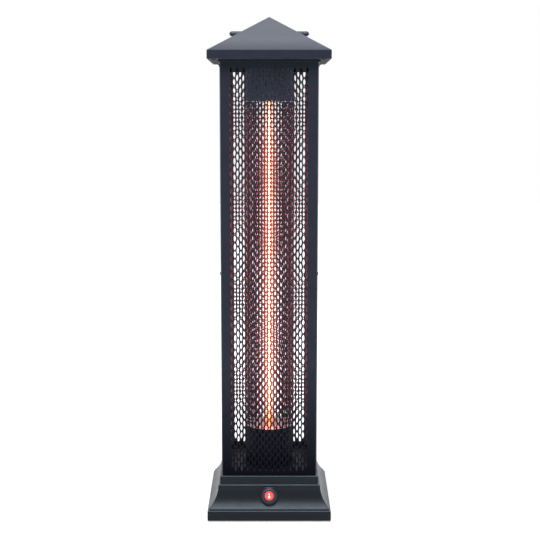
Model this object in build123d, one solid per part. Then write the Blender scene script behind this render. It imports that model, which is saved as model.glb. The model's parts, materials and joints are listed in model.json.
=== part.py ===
from build123d import *
import math
import os

# Lantern patio heater: moulded square foot, perforated column, lamp with guard, pyramid roof.
# The front faces -Y. The origin is the centre of the surface that it stands on. Millimetres.

# Foot moulding, from the floor up
FOOT_STAND = 2.0
BASE_WIDTH = 230.0
BASE_WALL = 3.0
BAND_HEIGHT = 18.7
BAND_LEDGE = 2.7
RISER_HEIGHT = 3.3
COVE_HEIGHT = 40.5
COVE_LEDGE = 3.4
PLINTH_WIDTH = 184.0
PLINTH_HEIGHT = 16.0

# Base plate, feet and ballast
PLATE_THICKNESS = 1.5
PLATE_GAP = 0.4
FOOT_HEIGHT = 4.0
FOOT_RADIUS = 11.0
FOOT_CHAMFER = 1.0
FOOT_RECESS = 2.0
FOOT_INSET = 23.0
BALLAST_WIDTH = 140.0
BALLAST_THICKNESS = 8.0
BALLAST_CHAMFER = 1.5
BALLAST_SCREW_INSET = 15.0
POST_RADIUS = 4.5
POST_INSET = 14.0

# Fasteners
SCREW_RADIUS = 2.0
SCREW_HEAD_RADIUS = 3.6
SCREW_HEAD_HEIGHT = 1.4
SCREW_GRIP = 12.0
SCREW_CLEARANCE = 0.15
HEAD_CLEARANCE = 0.4
THREAD_SPARE = 1.0
THREAD_END = 1.5
SHEET_SCREW_RADIUS = 1.5
SHEET_SCREW_HEAD_RADIUS = 3.0
SHEET_SCREW_HEAD_HEIGHT = 1.6
NUT_HEIGHT = 3.2
NUT_FLATS = 7.0

# Power button on the front of the cove
BUTTON_HEIGHT = 45.0
BUTTON_PAD_RADIUS = 17.0
BUTTON_PAD_DEPTH = 7.0
BEZEL_RADIUS = 16.2
BEZEL_HEIGHT = 5.0
BEZEL_RIM = 1.3
BEZEL_EDGE = 0.8
BEZEL_FLOOR = 1.2
BARREL_RADIUS = 10.9
BARREL_WALL = 1.9
BARREL_LENGTH = 22.0
BARREL_NUT_FLATS = 25.6
GASKET_THICKNESS = 0.8
BUTTON_TRAVEL = 2.0
BUTTON_GAP = 0.4
BUTTON_CAP_HEIGHT = 4.2
BUTTON_CAP_EDGE = 2.9
BUTTON_STEM_RADIUS = 5.2
BUTTON_STEM_LENGTH = 11.0
LENS_RADIUS = 8.2
LENS_THICKNESS = 1.8
LENS_SINK = 0.8
CONTACT_DEPTH = 13.0
CONTACT_WIDTH = 17.0
CONTACT_TAB_PLACE = 4.2
TAB_THICKNESS = 1.2
TAB_WIDTH = 7.0
TAB_LENGTH = 7.0

# Cord gland on the back of the cove
GLAND_HEIGHT = 48.0
GLAND_PAD_RADIUS = 9.5
GLAND_PAD_DEPTH = 10.0
GLAND_FLANGE = 3.0
GLAND_FLATS = 15.0
GLAND_DOME_RADIUS = 6.6
GLAND_DOME_LENGTH = 9.0
GLAND_BORE = 3.6
GLAND_THREAD_RADIUS = 5.5
GLAND_THREAD_LENGTH = 15.0

# Tip-over switch and terminal block on the base plate
TIP_X = -45.0
TIP_Y = 88.0
TIP_LENGTH = 28.0
TIP_DEPTH = 16.0
TIP_HEIGHT = 24.0
TIP_FLOOR = 2.0
PLUNGER_RADIUS = 3.0
PLUNGER_TIP_EDGE = 1.8
PLUNGER_COLLAR = 4.6
PLUNGER_COLLAR_HEIGHT = 2.0
PLUNGER_TRAVEL = 5.0
PLUNGER_LIFT = 0.3
PLUNGER_GAP = 0.4
TERMINAL_X = 45.0
TERMINAL_LENGTH = 36.0
TERMINAL_DEPTH = 16.0
TERMINAL_HEIGHT = 14.0
TERMINAL_WAYS = 3
TERMINAL_WELL_RADIUS = 3.0
TERMINAL_WELL_DEPTH = 7.0

# Column of sheet steel
COLUMN_WIDTH = 178.0
COLUMN_HEIGHT = 765.5
SHEET = 1.2
BEND_RADIUS = 3.5
FLANGE_DEPTH = 14.0
LIP_HEIGHT = 11.0
PANEL_SCREW_INSET = 9.0
PANEL_SCREW_EDGE = 5.5
SIDE_PANEL_GAP = 0.5
TRAY_SCREW_X = 68.0
TRAY_SCREW_Y = 76.0

# Staggered long hexagonal holes of the panels
MESH_WIDTH = 142.0
MESH_BOTTOM = 10.2
MESH_HEIGHT = 746.0
HOLE_PITCH_X = 11.4
HOLE_PITCH_Z = 31.0
HOLE_WIDTH = 8.8
HOLE_HEIGHT = 27.4
HOLE_POINT = 7.0

# Lamp, its drums, reflectors and round guard
DRUM_RADIUS = 46.0
DRUM_WALL = 1.0
DRUM_FLANGE = 7.0
LOWER_DRUM_HEIGHT = 75.0
UPPER_DRUM_HEIGHT = 66.8
DRUM_SCREWS = 3
DRUM_SCREW_TURN = 30.0
REFLECTOR_THICKNESS = 1.0
REFLECTOR_GAP = 1.5
GUARD_WALL = 1.0
GUARD_COLUMNS = 12
GUARD_ROWS = 18
GUARD_MARGIN = 12.0
GUARD_SLOT_WIDTH = 7.0
GUARD_SLOT_BRIDGE = 5.0
LAMP_RADIUS = 8.0
LAMP_WALL = 1.0
FILAMENT_RADIUS = 1.6
CAP_RADIUS = 11.0
CAP_HEIGHT = 24.0
CAP_CHAMFER = 1.2
CAP_SOCKET = 16.0
CAP_GAP = 0.15
BRACKET_HEIGHT = 21.3
BRACKET_SPAN = 30.0
BRACKET_WIDTH = 24.0
BRACKET_FOOT = 9.0
CONDUIT_RADIUS = 3.5
CONDUIT_WALL = 0.8
CONDUIT_INSET = 9.0
GROMMET_Y = 30.0
GROMMET_BORE = 5.0
GROMMET_RADIUS = 7.0
GROMMET_LIP = 2.0
CUTOUT_Y = -30.0
CUTOUT_RADIUS = 8.0
CUTOUT_HEIGHT = 7.0
CUTOUT_FLANGE = 1.0
CUTOUT_EAR_SPAN = 25.0
CUTOUT_EAR_WIDTH = 7.0
CUTOUT_TAB_PLACE = 4.0
CUTOUT_TAB_WIDTH = 3.5

# Roof
COLLAR_WIDTH = 182.8
COLLAR_HEIGHT = 5.0
COLLAR_WALL = 5.0
ROOF_WIDTH = 221.0
FASCIA_HEIGHT = 15.3
ROOF_RISE = 66.7
SOFFIT_SCREW_INSET = 11.5
SOFFIT_THREAD = 12.0
ROOF_POST_RADIUS = 4.0
SHIELD_WIDTH = 170.0
SHIELD_THICKNESS = 1.0
SHIELD_SPACER = 8.0
SPACER_RADIUS = 4.0
ROOF_BOLT_INSET = 19.0

# Carry handle on the back slope of the roof
GRIP_LENGTH = 156.0
GRIP_RADIUS = 5.2
GRIP_EDGE = 4.2
HANDLE_SPAN = 128.0
HANDLE_REACH = 32.0
HANDLE_UP_SLOPE = 31.0
HANDLE_POST_RADIUS = 3.6
HANDLE_FOOT_RADIUS = 8.0
HANDLE_FOOT_HEIGHT = 2.0
HANDLE_SCREW_DEPTH = 12.0

# Levels that the sizes above lead to
RIM_Z = FOOT_STAND
BAND_TOP_Z = RIM_Z + BAND_HEIGHT
COVE_BOTTOM_Z = BAND_TOP_Z + RISER_HEIGHT
COVE_TOP_Z = COVE_BOTTOM_Z + COVE_HEIGHT
DECK_Z = COVE_TOP_Z + PLINTH_HEIGHT
DECK_UNDER_Z = DECK_Z - BASE_WALL
PLATE_Z = FOOT_HEIGHT
PLATE_TOP_Z = PLATE_Z + PLATE_THICKNESS
TRAY_TOP_Z = DECK_Z + SHEET
COLUMN_TOP_Z = DECK_Z + COLUMN_HEIGHT
CEILING_Z = COLUMN_TOP_Z - SHEET
LOWER_REFLECTOR_Z = TRAY_TOP_Z + LOWER_DRUM_HEIGHT
UPPER_REFLECTOR_Z = CEILING_Z - UPPER_DRUM_HEIGHT
GUARD_BOTTOM_Z = LOWER_REFLECTOR_Z + REFLECTOR_THICKNESS
GUARD_TOP_Z = UPPER_REFLECTOR_Z - REFLECTOR_THICKNESS
LOWER_CAP_Z = TRAY_TOP_Z + BRACKET_HEIGHT
UPPER_CAP_TOP_Z = CEILING_Z - BRACKET_HEIGHT
LAMP_BOTTOM_Z = LOWER_CAP_Z + CAP_HEIGHT - CAP_SOCKET
LAMP_TOP_Z = UPPER_CAP_TOP_Z - CAP_HEIGHT + CAP_SOCKET
SOFFIT_Z = COLUMN_TOP_Z + COLLAR_HEIGHT
SOFFIT_TOP_Z = SOFFIT_Z + SHEET
SHIELD_Z = SOFFIT_TOP_Z + SHIELD_SPACER
FASCIA_TOP_Z = SOFFIT_Z + FASCIA_HEIGHT
APEX_Z = FASCIA_TOP_Z + ROOF_RISE

# Half widths and the cove's arc, which meets the ledge above it upright
BASE_HALF = BASE_WIDTH / 2
PLINTH_HALF = PLINTH_WIDTH / 2
COVE_FOOT_HALF = BASE_HALF - BAND_LEDGE
COVE_HEAD_HALF = PLINTH_HALF + COVE_LEDGE
COVE_RUN = COVE_FOOT_HALF - COVE_HEAD_HALF
COVE_RADIUS = (COVE_RUN**2 + COVE_HEIGHT**2) / (2 * COVE_RUN)
COVE_CENTRE = COVE_HEAD_HALF + COVE_RADIUS
COLUMN_HALF = COLUMN_WIDTH / 2
ROOF_HALF = ROOF_WIDTH / 2
ROOF_ANGLE = math.atan2(ROOF_RISE, ROOF_HALF)
FOOT_PLACE = BASE_HALF - FOOT_INSET
POST_PLACE = PLINTH_HALF - POST_INSET
CONDUIT_PLACE = COLUMN_HALF - CONDUIT_INSET
ROOF_BOLT_PLACE = COLUMN_HALF - ROOF_BOLT_INSET
SOFFIT_SCREW_PLACE = ROOF_HALF - SHEET - SOFFIT_SCREW_INSET


def rod(radius, low, high):
    """Upright cylinder between two heights."""
    return Pos(0, 0, (low + high) / 2) * Cylinder(radius, high - low)


def tube(outer, inner, low, high):
    """Upright ring or pipe between two heights."""
    return rod(outer, low, high) - rod(inner, low, high)


def block(width, depth, low, high):
    """Upright box centred on the Z axis between two heights."""
    return Pos(0, 0, (low + high) / 2) * Box(width, depth, high - low)


def hexagon(flats, low, high):
    """Upright hexagonal bar between two heights."""
    section = RegularPolygon(flats / 2, 6, major_radius=False)
    return Pos(0, 0, low) * extrude(section, amount=high - low)


def corners(place_x, place_y):
    """The four points (+-x, +-y), in turn round the Z axis."""
    return [(sx * place_x, sy * place_y) for sx, sy in ((1, 1), (-1, 1), (-1, -1), (1, -1))]


def at_points(shape, points):
    """Separate copies of one shape, one at each plan point."""
    return Compound(children=[copy_of(shape, x, y) for x, y in points])


def copy_of(shape, x, y):
    """One copy of a shape moved in plan."""
    return (Pos(x, y, 0) * shape).solid()


def pan_screw(shank, head, head_height, grip):
    """Pan-head screw: the head lies above z = 0 and the shank points down."""
    return rod(head, 0, head_height) + rod(shank, -grip, 0)


def cove_half_width(z, wall=0.0):
    """Half width of the cove at a height, or of its inner face for a wall."""
    radius = COVE_RADIUS + wall
    return COVE_CENTRE - math.sqrt(radius**2 - (COVE_TOP_Z - z) ** 2)


def cove_height_at(half_width, wall):
    """Height at which the cove's inner face reaches a half width."""
    radius = COVE_RADIUS + wall
    return COVE_TOP_Z - math.sqrt(radius**2 - (COVE_CENTRE - half_width) ** 2)


def square_moulding(edges, low, high):
    """Solid whose four sides all follow one outline of half width over height.

    The outline's edges run up the +X side of the XZ plane from the low point to the high point.
    """
    mirrored = [edge.mirror(Plane.YZ) for edge in edges]
    floor = Line((-low[0], 0, low[1]), (low[0], 0, low[1]))
    loop = [floor] + edges + mirrored
    if high[0] > 0:
        loop.append(Line((-high[0], 0, high[1]), (high[0], 0, high[1])))
    face = Face(Wire(loop))
    bar = extrude(face, amount=BASE_WIDTH, both=True)
    return bar & bar.rotate(Axis.Z, 90)


def outline(points):
    """Straight edges through points given as half width and height."""
    places = [(half, 0, z) for half, z in points]
    return [Line(a, b) for a, b in zip(places, places[1:])]


def cove_arc(low_z, high_z, wall=0.0):
    """Arc of the cove between two heights, on the +X side of the XZ plane."""
    heights = (low_z, (low_z + high_z) / 2, high_z)
    return ThreePointArc(*[(cove_half_width(z, wall), 0, z) for z in heights])


# Foot


def foot_outer():
    """Outside of the foot: band, ledge, riser, cove, ledge and plinth."""
    below = [(BASE_HALF, RIM_Z), (BASE_HALF, BAND_TOP_Z)]
    below += [(COVE_FOOT_HALF, BAND_TOP_Z), (COVE_FOOT_HALF, COVE_BOTTOM_Z)]
    above = [(COVE_HEAD_HALF, COVE_TOP_Z), (PLINTH_HALF, COVE_TOP_Z), (PLINTH_HALF, DECK_Z)]
    edges = outline(below) + [cove_arc(COVE_BOTTOM_Z, COVE_TOP_Z)] + outline(above)
    return square_moulding(edges, below[0], above[-1])


def foot_cavity():
    """Hollow of the foot, one wall inside its outside."""
    wall = BASE_WALL
    riser = COVE_FOOT_HALF - wall
    arc_low = cove_height_at(riser, wall)
    arc_high = COVE_TOP_Z - wall
    below = [(BASE_HALF - wall, RIM_Z), (BASE_HALF - wall, BAND_TOP_Z - wall)]
    below += [(riser, BAND_TOP_Z - wall), (riser, arc_low)]
    above = [(cove_half_width(arc_high, wall), arc_high), (PLINTH_HALF - wall, arc_high)]
    above += [(PLINTH_HALF - wall, DECK_UNDER_Z)]
    edges = outline(below) + [cove_arc(arc_low, arc_high, wall)] + outline(above)
    return square_moulding(edges, below[0], above[-1])


def button_plane():
    """Plane of the button pad's face: its Z axis points out of the cove, forwards and up."""
    half = cove_half_width(BUTTON_HEIGHT)
    outward = (COVE_CENTRE - half) / COVE_RADIUS
    upward = (COVE_TOP_Z - BUTTON_HEIGHT) / COVE_RADIUS
    rise = COVE_RADIUS - math.sqrt(COVE_RADIUS**2 - BUTTON_PAD_RADIUS**2)
    origin = (0, -half - rise * outward, BUTTON_HEIGHT + rise * upward)
    return Plane(origin=origin, x_dir=(1, 0, 0), z_dir=(0, -outward, upward))


def gland_plane():
    """Plane of the gland pad's face on the back: its Z axis points to +Y."""
    lowest = max(GLAND_HEIGHT - GLAND_PAD_RADIUS, COVE_BOTTOM_Z)
    return Plane(origin=(0, cove_half_width(lowest), GLAND_HEIGHT), x_dir=(1, 0, 0), z_dir=(0, 1, 0))


def base_housing():
    """Moulded foot shell with screw posts, pads and holes."""
    shell = foot_outer() - foot_cavity()
    post = rod(POST_RADIUS, PLATE_TOP_Z, DECK_UNDER_Z)
    tray_boss = rod(POST_RADIUS, DECK_Z - SCREW_GRIP, DECK_UNDER_Z)
    button_pad = button_plane() * rod(BUTTON_PAD_RADIUS, -BUTTON_PAD_DEPTH, 0)
    gland_pad = gland_plane() * rod(GLAND_PAD_RADIUS, -GLAND_PAD_DEPTH, 0)
    for x, y in corners(POST_PLACE, POST_PLACE):
        shell += Pos(x, y, 0) * post
    for x, y in corners(TRAY_SCREW_X, TRAY_SCREW_Y):
        shell += Pos(x, y, 0) * tray_boss
    shell += button_pad + gland_pad
    pilot = rod(SCREW_RADIUS + SCREW_CLEARANCE, PLATE_TOP_Z, PLATE_TOP_Z + SCREW_GRIP)
    for x, y in corners(POST_PLACE, POST_PLACE):
        shell -= Pos(x, y, 0) * pilot
    tray_pilot = rod(SHEET_SCREW_RADIUS + SCREW_CLEARANCE, DECK_Z - SCREW_GRIP, DECK_Z)
    for x, y in corners(TRAY_SCREW_X, TRAY_SCREW_Y):
        shell -= Pos(x, y, 0) * tray_pilot
    shell -= button_plane() * rod(BARREL_RADIUS + SCREW_CLEARANCE, -BUTTON_PAD_DEPTH, 0)
    shell -= gland_plane() * rod(GLAND_THREAD_RADIUS + SCREW_CLEARANCE, -GLAND_PAD_DEPTH, 0)
    shell -= Pos(0, GROMMET_Y, 0) * rod(GROMMET_RADIUS, DECK_UNDER_Z, DECK_Z)
    conduit_hole = rod(CONDUIT_RADIUS - CONDUIT_WALL, DECK_UNDER_Z, DECK_Z)
    shell -= Pos(-CONDUIT_PLACE, CONDUIT_PLACE, 0) * conduit_hole
    return shell


def base_plate():
    """Steel plate that closes the foot from below."""
    width = BASE_WIDTH - 2 * (BASE_WALL + PLATE_GAP)
    plate = block(width, width, PLATE_Z, PLATE_TOP_Z)
    hole = rod(SCREW_RADIUS + SCREW_CLEARANCE, PLATE_Z, PLATE_TOP_Z)
    places = corners(POST_PLACE, POST_PLACE) + corners(FOOT_PLACE, FOOT_PLACE) + ballast_points()
    for x, y in places:
        plate -= Pos(x, y, 0) * hole
    return plate - Pos(TIP_X, TIP_Y, 0) * rod(PLUNGER_RADIUS + PLUNGER_GAP, PLATE_Z, PLATE_TOP_Z)


def base_screws():
    """Four screws from below into the housing's posts."""
    screw = pan_screw(SCREW_RADIUS, SCREW_HEAD_RADIUS, SCREW_HEAD_HEIGHT, SCREW_GRIP)
    upright = Pos(0, 0, PLATE_Z) * Rot(180, 0, 0) * screw
    return at_points(upright, corners(POST_PLACE, POST_PLACE))


def ballast_points():
    """Plan points of the ballast screws."""
    place = BALLAST_WIDTH / 2 - BALLAST_SCREW_INSET
    return corners(place, place)


def ballast_plate():
    """Thick steel plate that keeps the heater upright."""
    plate = block(BALLAST_WIDTH, BALLAST_WIDTH, PLATE_TOP_Z, PLATE_TOP_Z + BALLAST_THICKNESS)
    plate = chamfer(plate.edges().group_by(Axis.Z)[-1], BALLAST_CHAMFER)
    hole = rod(SCREW_RADIUS + SCREW_CLEARANCE, PLATE_TOP_Z, PLATE_TOP_Z + BALLAST_THICKNESS)
    for x, y in ballast_points():
        plate -= Pos(x, y, 0) * hole
    return plate


def ballast_screws():
    """Screws that hold the ballast down on the base plate."""
    grip = PLATE_THICKNESS + BALLAST_THICKNESS - THREAD_SPARE
    screw = pan_screw(SCREW_RADIUS, SCREW_HEAD_RADIUS, SCREW_HEAD_HEIGHT, grip)
    return at_points(Pos(0, 0, PLATE_Z) * Rot(180, 0, 0) * screw, ballast_points())


def rubber_feet():
    """Round feet with a recess for the screw head."""
    foot = rod(FOOT_RADIUS, 0, FOOT_HEIGHT)
    foot = chamfer(foot.edges().group_by(Axis.Z)[0], FOOT_CHAMFER)
    foot -= rod(SCREW_HEAD_RADIUS + HEAD_CLEARANCE, 0, FOOT_RECESS)
    foot -= rod(SCREW_RADIUS + SCREW_CLEARANCE, 0, FOOT_HEIGHT)
    return at_points(foot, corners(FOOT_PLACE, FOOT_PLACE))


def foot_screws():
    """Screws up through the feet and the base plate."""
    grip = PLATE_TOP_Z - FOOT_RECESS + NUT_HEIGHT + THREAD_END
    screw = pan_screw(SCREW_RADIUS, SCREW_HEAD_RADIUS, SCREW_HEAD_HEIGHT, grip)
    upright = Pos(0, 0, FOOT_RECESS) * Rot(180, 0, 0) * screw
    return at_points(upright, corners(FOOT_PLACE, FOOT_PLACE))


def foot_nuts():
    """Nuts of the foot screws, on the base plate."""
    nut = hexagon(NUT_FLATS, PLATE_TOP_Z, PLATE_TOP_Z + NUT_HEIGHT)
    nut -= rod(SCREW_RADIUS, PLATE_TOP_Z, PLATE_TOP_Z + NUT_HEIGHT)
    return at_points(nut, corners(FOOT_PLACE, FOOT_PLACE))


# Power button, drawn on its pad's plane


def button_gasket():
    """Rubber ring between the pad and the bezel."""
    return button_plane() * tube(BEZEL_RADIUS - BEZEL_RIM, BARREL_RADIUS, 0, GASKET_THICKNESS)


def button_bezel():
    """Black ring with a floor and a threaded barrel through the pad."""
    floor_z = GASKET_THICKNESS + BEZEL_FLOOR
    rim = rod(BEZEL_RADIUS, GASKET_THICKNESS, BEZEL_HEIGHT)
    rim = fillet(rim.edges().group_by(Axis.Z)[-1], BEZEL_EDGE)
    rim -= rod(BEZEL_RADIUS - BEZEL_RIM, floor_z, BEZEL_HEIGHT)
    barrel = rod(BARREL_RADIUS, -BARREL_LENGTH, GASKET_THICKNESS)
    barrel -= rod(BARREL_RADIUS - BARREL_WALL, -BARREL_LENGTH, 0)
    body = rim + barrel - rod(BUTTON_STEM_RADIUS + BUTTON_GAP, 0, floor_z)
    return button_plane() * body


def button_nut():
    """Ring nut that clamps the barrel from inside the foot."""
    low = -BUTTON_PAD_DEPTH - NUT_HEIGHT
    ring = hexagon(BARREL_NUT_FLATS, low, -BUTTON_PAD_DEPTH)
    return button_plane() * (ring - rod(BARREL_RADIUS, low, -BUTTON_PAD_DEPTH))


def button_cap_low():
    """Height of the cap's underside over the pad at rest."""
    return GASKET_THICKNESS + BEZEL_FLOOR + BUTTON_TRAVEL + BUTTON_GAP


def power_button():
    """Domed cap with a recess for the lens, and the stem behind it."""
    low = button_cap_low()
    high = low + BUTTON_CAP_HEIGHT
    cap = rod(BEZEL_RADIUS - BEZEL_RIM - BUTTON_GAP, low, high)
    cap = fillet(cap.edges().group_by(Axis.Z)[-1], BUTTON_CAP_EDGE)
    cap -= rod(LENS_RADIUS, high - LENS_THICKNESS, high)
    stem = rod(BUTTON_STEM_RADIUS, low - BUTTON_STEM_LENGTH, low)
    return button_plane() * (cap + stem)


def button_lens():
    """Round lens set in the cap, a little proud of its recess floor."""
    low = button_cap_low() + BUTTON_CAP_HEIGHT - LENS_THICKNESS
    lens = rod(LENS_RADIUS, low, low + LENS_THICKNESS + LENS_SINK)
    return button_plane() * fillet(lens.edges().group_by(Axis.Z)[-1], LENS_SINK)


def contact_block():
    """Switch contacts, pushed into the barrel from behind, with two tabs."""
    low = -BARREL_LENGTH - CONTACT_DEPTH
    plug_high = button_cap_low() - BUTTON_STEM_LENGTH - BUTTON_TRAVEL - BUTTON_GAP
    body = block(CONTACT_WIDTH, CONTACT_WIDTH, low, -BARREL_LENGTH)
    body += rod(BARREL_RADIUS - BARREL_WALL, -BARREL_LENGTH, plug_high)
    tab = block(TAB_THICKNESS, TAB_WIDTH, low - TAB_LENGTH, low)
    for side in (-1, 1):
        body += Pos(side * CONTACT_TAB_PLACE, 0, 0) * tab
    return button_plane() * body


# Cord gland, drawn on its pad's plane


def cord_gland():
    """Hexagonal gland with a tapered dome outside and a thread inside."""
    body = hexagon(GLAND_FLATS, 0, GLAND_FLANGE)
    dome = Pos(0, 0, GLAND_FLANGE + GLAND_DOME_LENGTH / 2)
    body += dome * Cone(GLAND_DOME_RADIUS, GLAND_THREAD_RADIUS, GLAND_DOME_LENGTH)
    body += rod(GLAND_THREAD_RADIUS, -GLAND_THREAD_LENGTH, 0)
    body -= rod(GLAND_BORE, -GLAND_THREAD_LENGTH, GLAND_FLANGE + GLAND_DOME_LENGTH)
    return gland_plane() * body


def gland_bung():
    """Rubber insert that closes the gland's bore."""
    return gland_plane() * rod(GLAND_BORE, -GLAND_FLANGE, GLAND_FLANGE + GLAND_DOME_LENGTH)


def gland_nut():
    """Nut that holds the gland from inside the foot."""
    low = -GLAND_PAD_DEPTH - NUT_HEIGHT
    nut = hexagon(GLAND_FLATS, low, -GLAND_PAD_DEPTH)
    return gland_plane() * (nut - rod(GLAND_THREAD_RADIUS, low, -GLAND_PAD_DEPTH))


# Tip-over switch and terminals


def tip_chamber():
    """Heights of the plunger collar's chamber: its floor and its roof."""
    low = PLATE_TOP_Z + TIP_FLOOR
    return low, low + PLUNGER_TRAVEL + PLUNGER_COLLAR_HEIGHT + 2 * PLUNGER_GAP


def tip_switch_body():
    """Sealed switch housing with a bore and a chamber for the plunger."""
    low, high = tip_chamber()
    body = block(TIP_LENGTH, TIP_DEPTH, PLATE_TOP_Z, PLATE_TOP_Z + TIP_HEIGHT)
    body = fillet(body.edges().filter_by(Axis.Z), TIP_FLOOR)
    top = PLATE_TOP_Z + TIP_HEIGHT - TIP_FLOOR
    body -= rod(PLUNGER_RADIUS + PLUNGER_GAP, PLATE_TOP_Z, top)
    body -= rod(PLUNGER_COLLAR + PLUNGER_GAP, low, high)
    return Pos(TIP_X, TIP_Y, 0) * body


def tip_plunger():
    """Plunger that the floor holds up: tip below, collar inside the chamber."""
    high = tip_chamber()[1] - PLUNGER_GAP
    top = PLATE_TOP_Z + TIP_HEIGHT - TIP_FLOOR - PLUNGER_GAP
    pin = rod(PLUNGER_RADIUS, PLUNGER_LIFT, top)
    pin = fillet(pin.edges().group_by(Axis.Z)[0], PLUNGER_TIP_EDGE)
    pin += rod(PLUNGER_COLLAR, high - PLUNGER_COLLAR_HEIGHT, high)
    return Pos(TIP_X, TIP_Y, 0) * pin


def terminal_block():
    """Terminal strip on the base plate with a well over each way."""
    high = PLATE_TOP_Z + TERMINAL_HEIGHT
    body = block(TERMINAL_LENGTH, TERMINAL_DEPTH, PLATE_TOP_Z, high)
    pitch = TERMINAL_LENGTH / TERMINAL_WAYS
    for way in range(TERMINAL_WAYS):
        x = (way - (TERMINAL_WAYS - 1) / 2) * pitch
        body -= Pos(x, 0, 0) * rod(TERMINAL_WELL_RADIUS, high - TERMINAL_WELL_DEPTH, high)
    return Pos(TERMINAL_X, TIP_Y, 0) * body


# Column


def hexagonal_hole(x, z):
    """Outline of one long hexagonal hole with a point at each end."""
    half_width = HOLE_WIDTH / 2
    half_height = HOLE_HEIGHT / 2
    shoulder = half_height - HOLE_POINT
    right = [(x, z - half_height), (x + half_width, z - shoulder), (x + half_width, z + shoulder)]
    left = [(x, z + half_height), (x - half_width, z + shoulder), (x - half_width, z - shoulder)]
    return Wire.make_polygon([(px, pz, 0) for px, pz in right + left], close=True)


def hole_field():
    """Outlines of all the holes of one panel, staggered from column to column."""
    columns = 2 * int((MESH_WIDTH - HOLE_WIDTH) / HOLE_PITCH_X / 2) + 1
    holes = []
    for column in range(columns):
        stagger = HOLE_PITCH_Z / 2 if column % 2 else 0.0
        rows = int((MESH_HEIGHT - HOLE_HEIGHT - stagger) / HOLE_PITCH_Z) + 1
        x = (column - (columns - 1) / 2) * HOLE_PITCH_X
        first = DECK_Z + MESH_BOTTOM + HOLE_HEIGHT / 2 + stagger
        holes += [hexagonal_hole(x, first + row * HOLE_PITCH_Z) for row in range(rows)]
    return holes


def screw_hole(x, z):
    """Outline of one round hole for a panel screw."""
    return Wire.make_circle(SHEET_SCREW_RADIUS + SCREW_CLEARANCE, Plane((x, z, 0)))


def perforated_plate(width, screw_points=()):
    """Flat perforated plate of the column's height, standing in the XZ plane, inner face at y = 0."""
    half = width / 2
    outer = [(-half, DECK_Z), (half, DECK_Z), (half, COLUMN_TOP_Z), (-half, COLUMN_TOP_Z)]
    edge = Wire.make_polygon([(x, z, 0) for x, z in outer], close=True)
    holes = hole_field() + [screw_hole(x, z) for x, z in screw_points]
    plate = extrude(Face(edge, holes), amount=SHEET)
    return plate.rotate(Axis.X, 90)


def bent_flange():
    """Right-hand bend and return flange of a panel whose outer face is at y = -COLUMN_HALF."""
    inner = BEND_RADIUS - SHEET
    centre = COLUMN_HALF - BEND_RADIUS
    end = -COLUMN_HALF + FLANGE_DEPTH
    diagonal = math.cos(math.pi / 4)
    outer_arc = ThreePointArc(
        (centre, -COLUMN_HALF),
        (centre + BEND_RADIUS * diagonal, -centre - BEND_RADIUS * diagonal),
        (COLUMN_HALF, -centre),
    )
    inner_arc = ThreePointArc(
        (centre, -COLUMN_HALF + SHEET),
        (centre + inner * diagonal, -centre - inner * diagonal),
        (COLUMN_HALF - SHEET, -centre),
    )
    loop = [
        outer_arc,
        Line((COLUMN_HALF, -centre), (COLUMN_HALF, end)),
        Line((COLUMN_HALF, end), (COLUMN_HALF - SHEET, end)),
        Line((COLUMN_HALF - SHEET, end), (COLUMN_HALF - SHEET, -centre)),
        inner_arc,
        Line((centre, -COLUMN_HALF + SHEET), (centre, -COLUMN_HALF)),
    ]
    flange = Pos(0, 0, DECK_Z) * extrude(Face(Wire(loop)), amount=COLUMN_HEIGHT)
    return flange - cross_pins(SHEET_SCREW_RADIUS + SCREW_CLEARANCE, COLUMN_HALF - SHEET, COLUMN_HALF)


def panel_screw_points():
    """Places of the panel screws on the side faces: y and z."""
    place = COLUMN_HALF - PANEL_SCREW_INSET
    heights = (DECK_Z + PANEL_SCREW_EDGE, DECK_Z + COLUMN_HEIGHT / 2, COLUMN_TOP_Z - PANEL_SCREW_EDGE)
    return [(y, z) for y in (-place, place) for z in heights]


def cross_pins(radius, low, high):
    """Rods along X on both sides of the column, from one distance to another."""
    pins = []
    for side in (-1, 1):
        for y, z in panel_screw_points():
            pins.append(Pos(0, y, z) * Rot(0, 90 * side, 0) * rod(radius, low, high))
    return pins


def front_panel():
    """Perforated front with a return flange down each side."""
    plate = Pos(0, -COLUMN_HALF + SHEET, 0) * perforated_plate(COLUMN_WIDTH - 2 * BEND_RADIUS)
    right = bent_flange()
    return plate + [right, right.mirror(Plane.YZ)]


def side_panel():
    """Flat perforated right side, behind the flanges of the front and back."""
    width = COLUMN_WIDTH - 2 * (BEND_RADIUS + SIDE_PANEL_GAP)
    plate = perforated_plate(width, panel_screw_points())
    return Pos(COLUMN_HALF - 2 * SHEET, 0, 0) * plate.rotate(Axis.Z, 90)


def panel_screws():
    """Screws through the flanges, the side panels and the lips of both trays."""
    sheets = 3
    grip = sheets * SHEET + THREAD_END
    screw = Pos(0, 0, COLUMN_HALF) * pan_screw(
        SHEET_SCREW_RADIUS, SHEET_SCREW_HEAD_RADIUS, SHEET_SCREW_HEAD_HEIGHT, grip
    )
    screws = []
    for side in (-1, 1):
        for y, z in panel_screw_points():
            screws.append((Pos(0, y, z) * Rot(0, 90 * side, 0) * screw).solid())
    return Compound(children=screws)


def lipped_tray():
    """Square tray of sheet steel: plate at z = 0, lips up to LIP_HEIGHT.

    Flanges and side panels, two sheets a side, lie outside its width, and one panel a side
    outside its depth.
    """
    width = COLUMN_WIDTH - 4 * SHEET
    depth = COLUMN_WIDTH - 2 * SHEET
    tray = block(width, depth, 0, LIP_HEIGHT)
    tray = fillet(tray.edges().filter_by(Axis.Z), BEND_RADIUS)
    pocket = block(width - 2 * SHEET, depth - 2 * SHEET, SHEET, LIP_HEIGHT)
    return tray - fillet(pocket.edges().filter_by(Axis.Z), BEND_RADIUS - SHEET)


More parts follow.
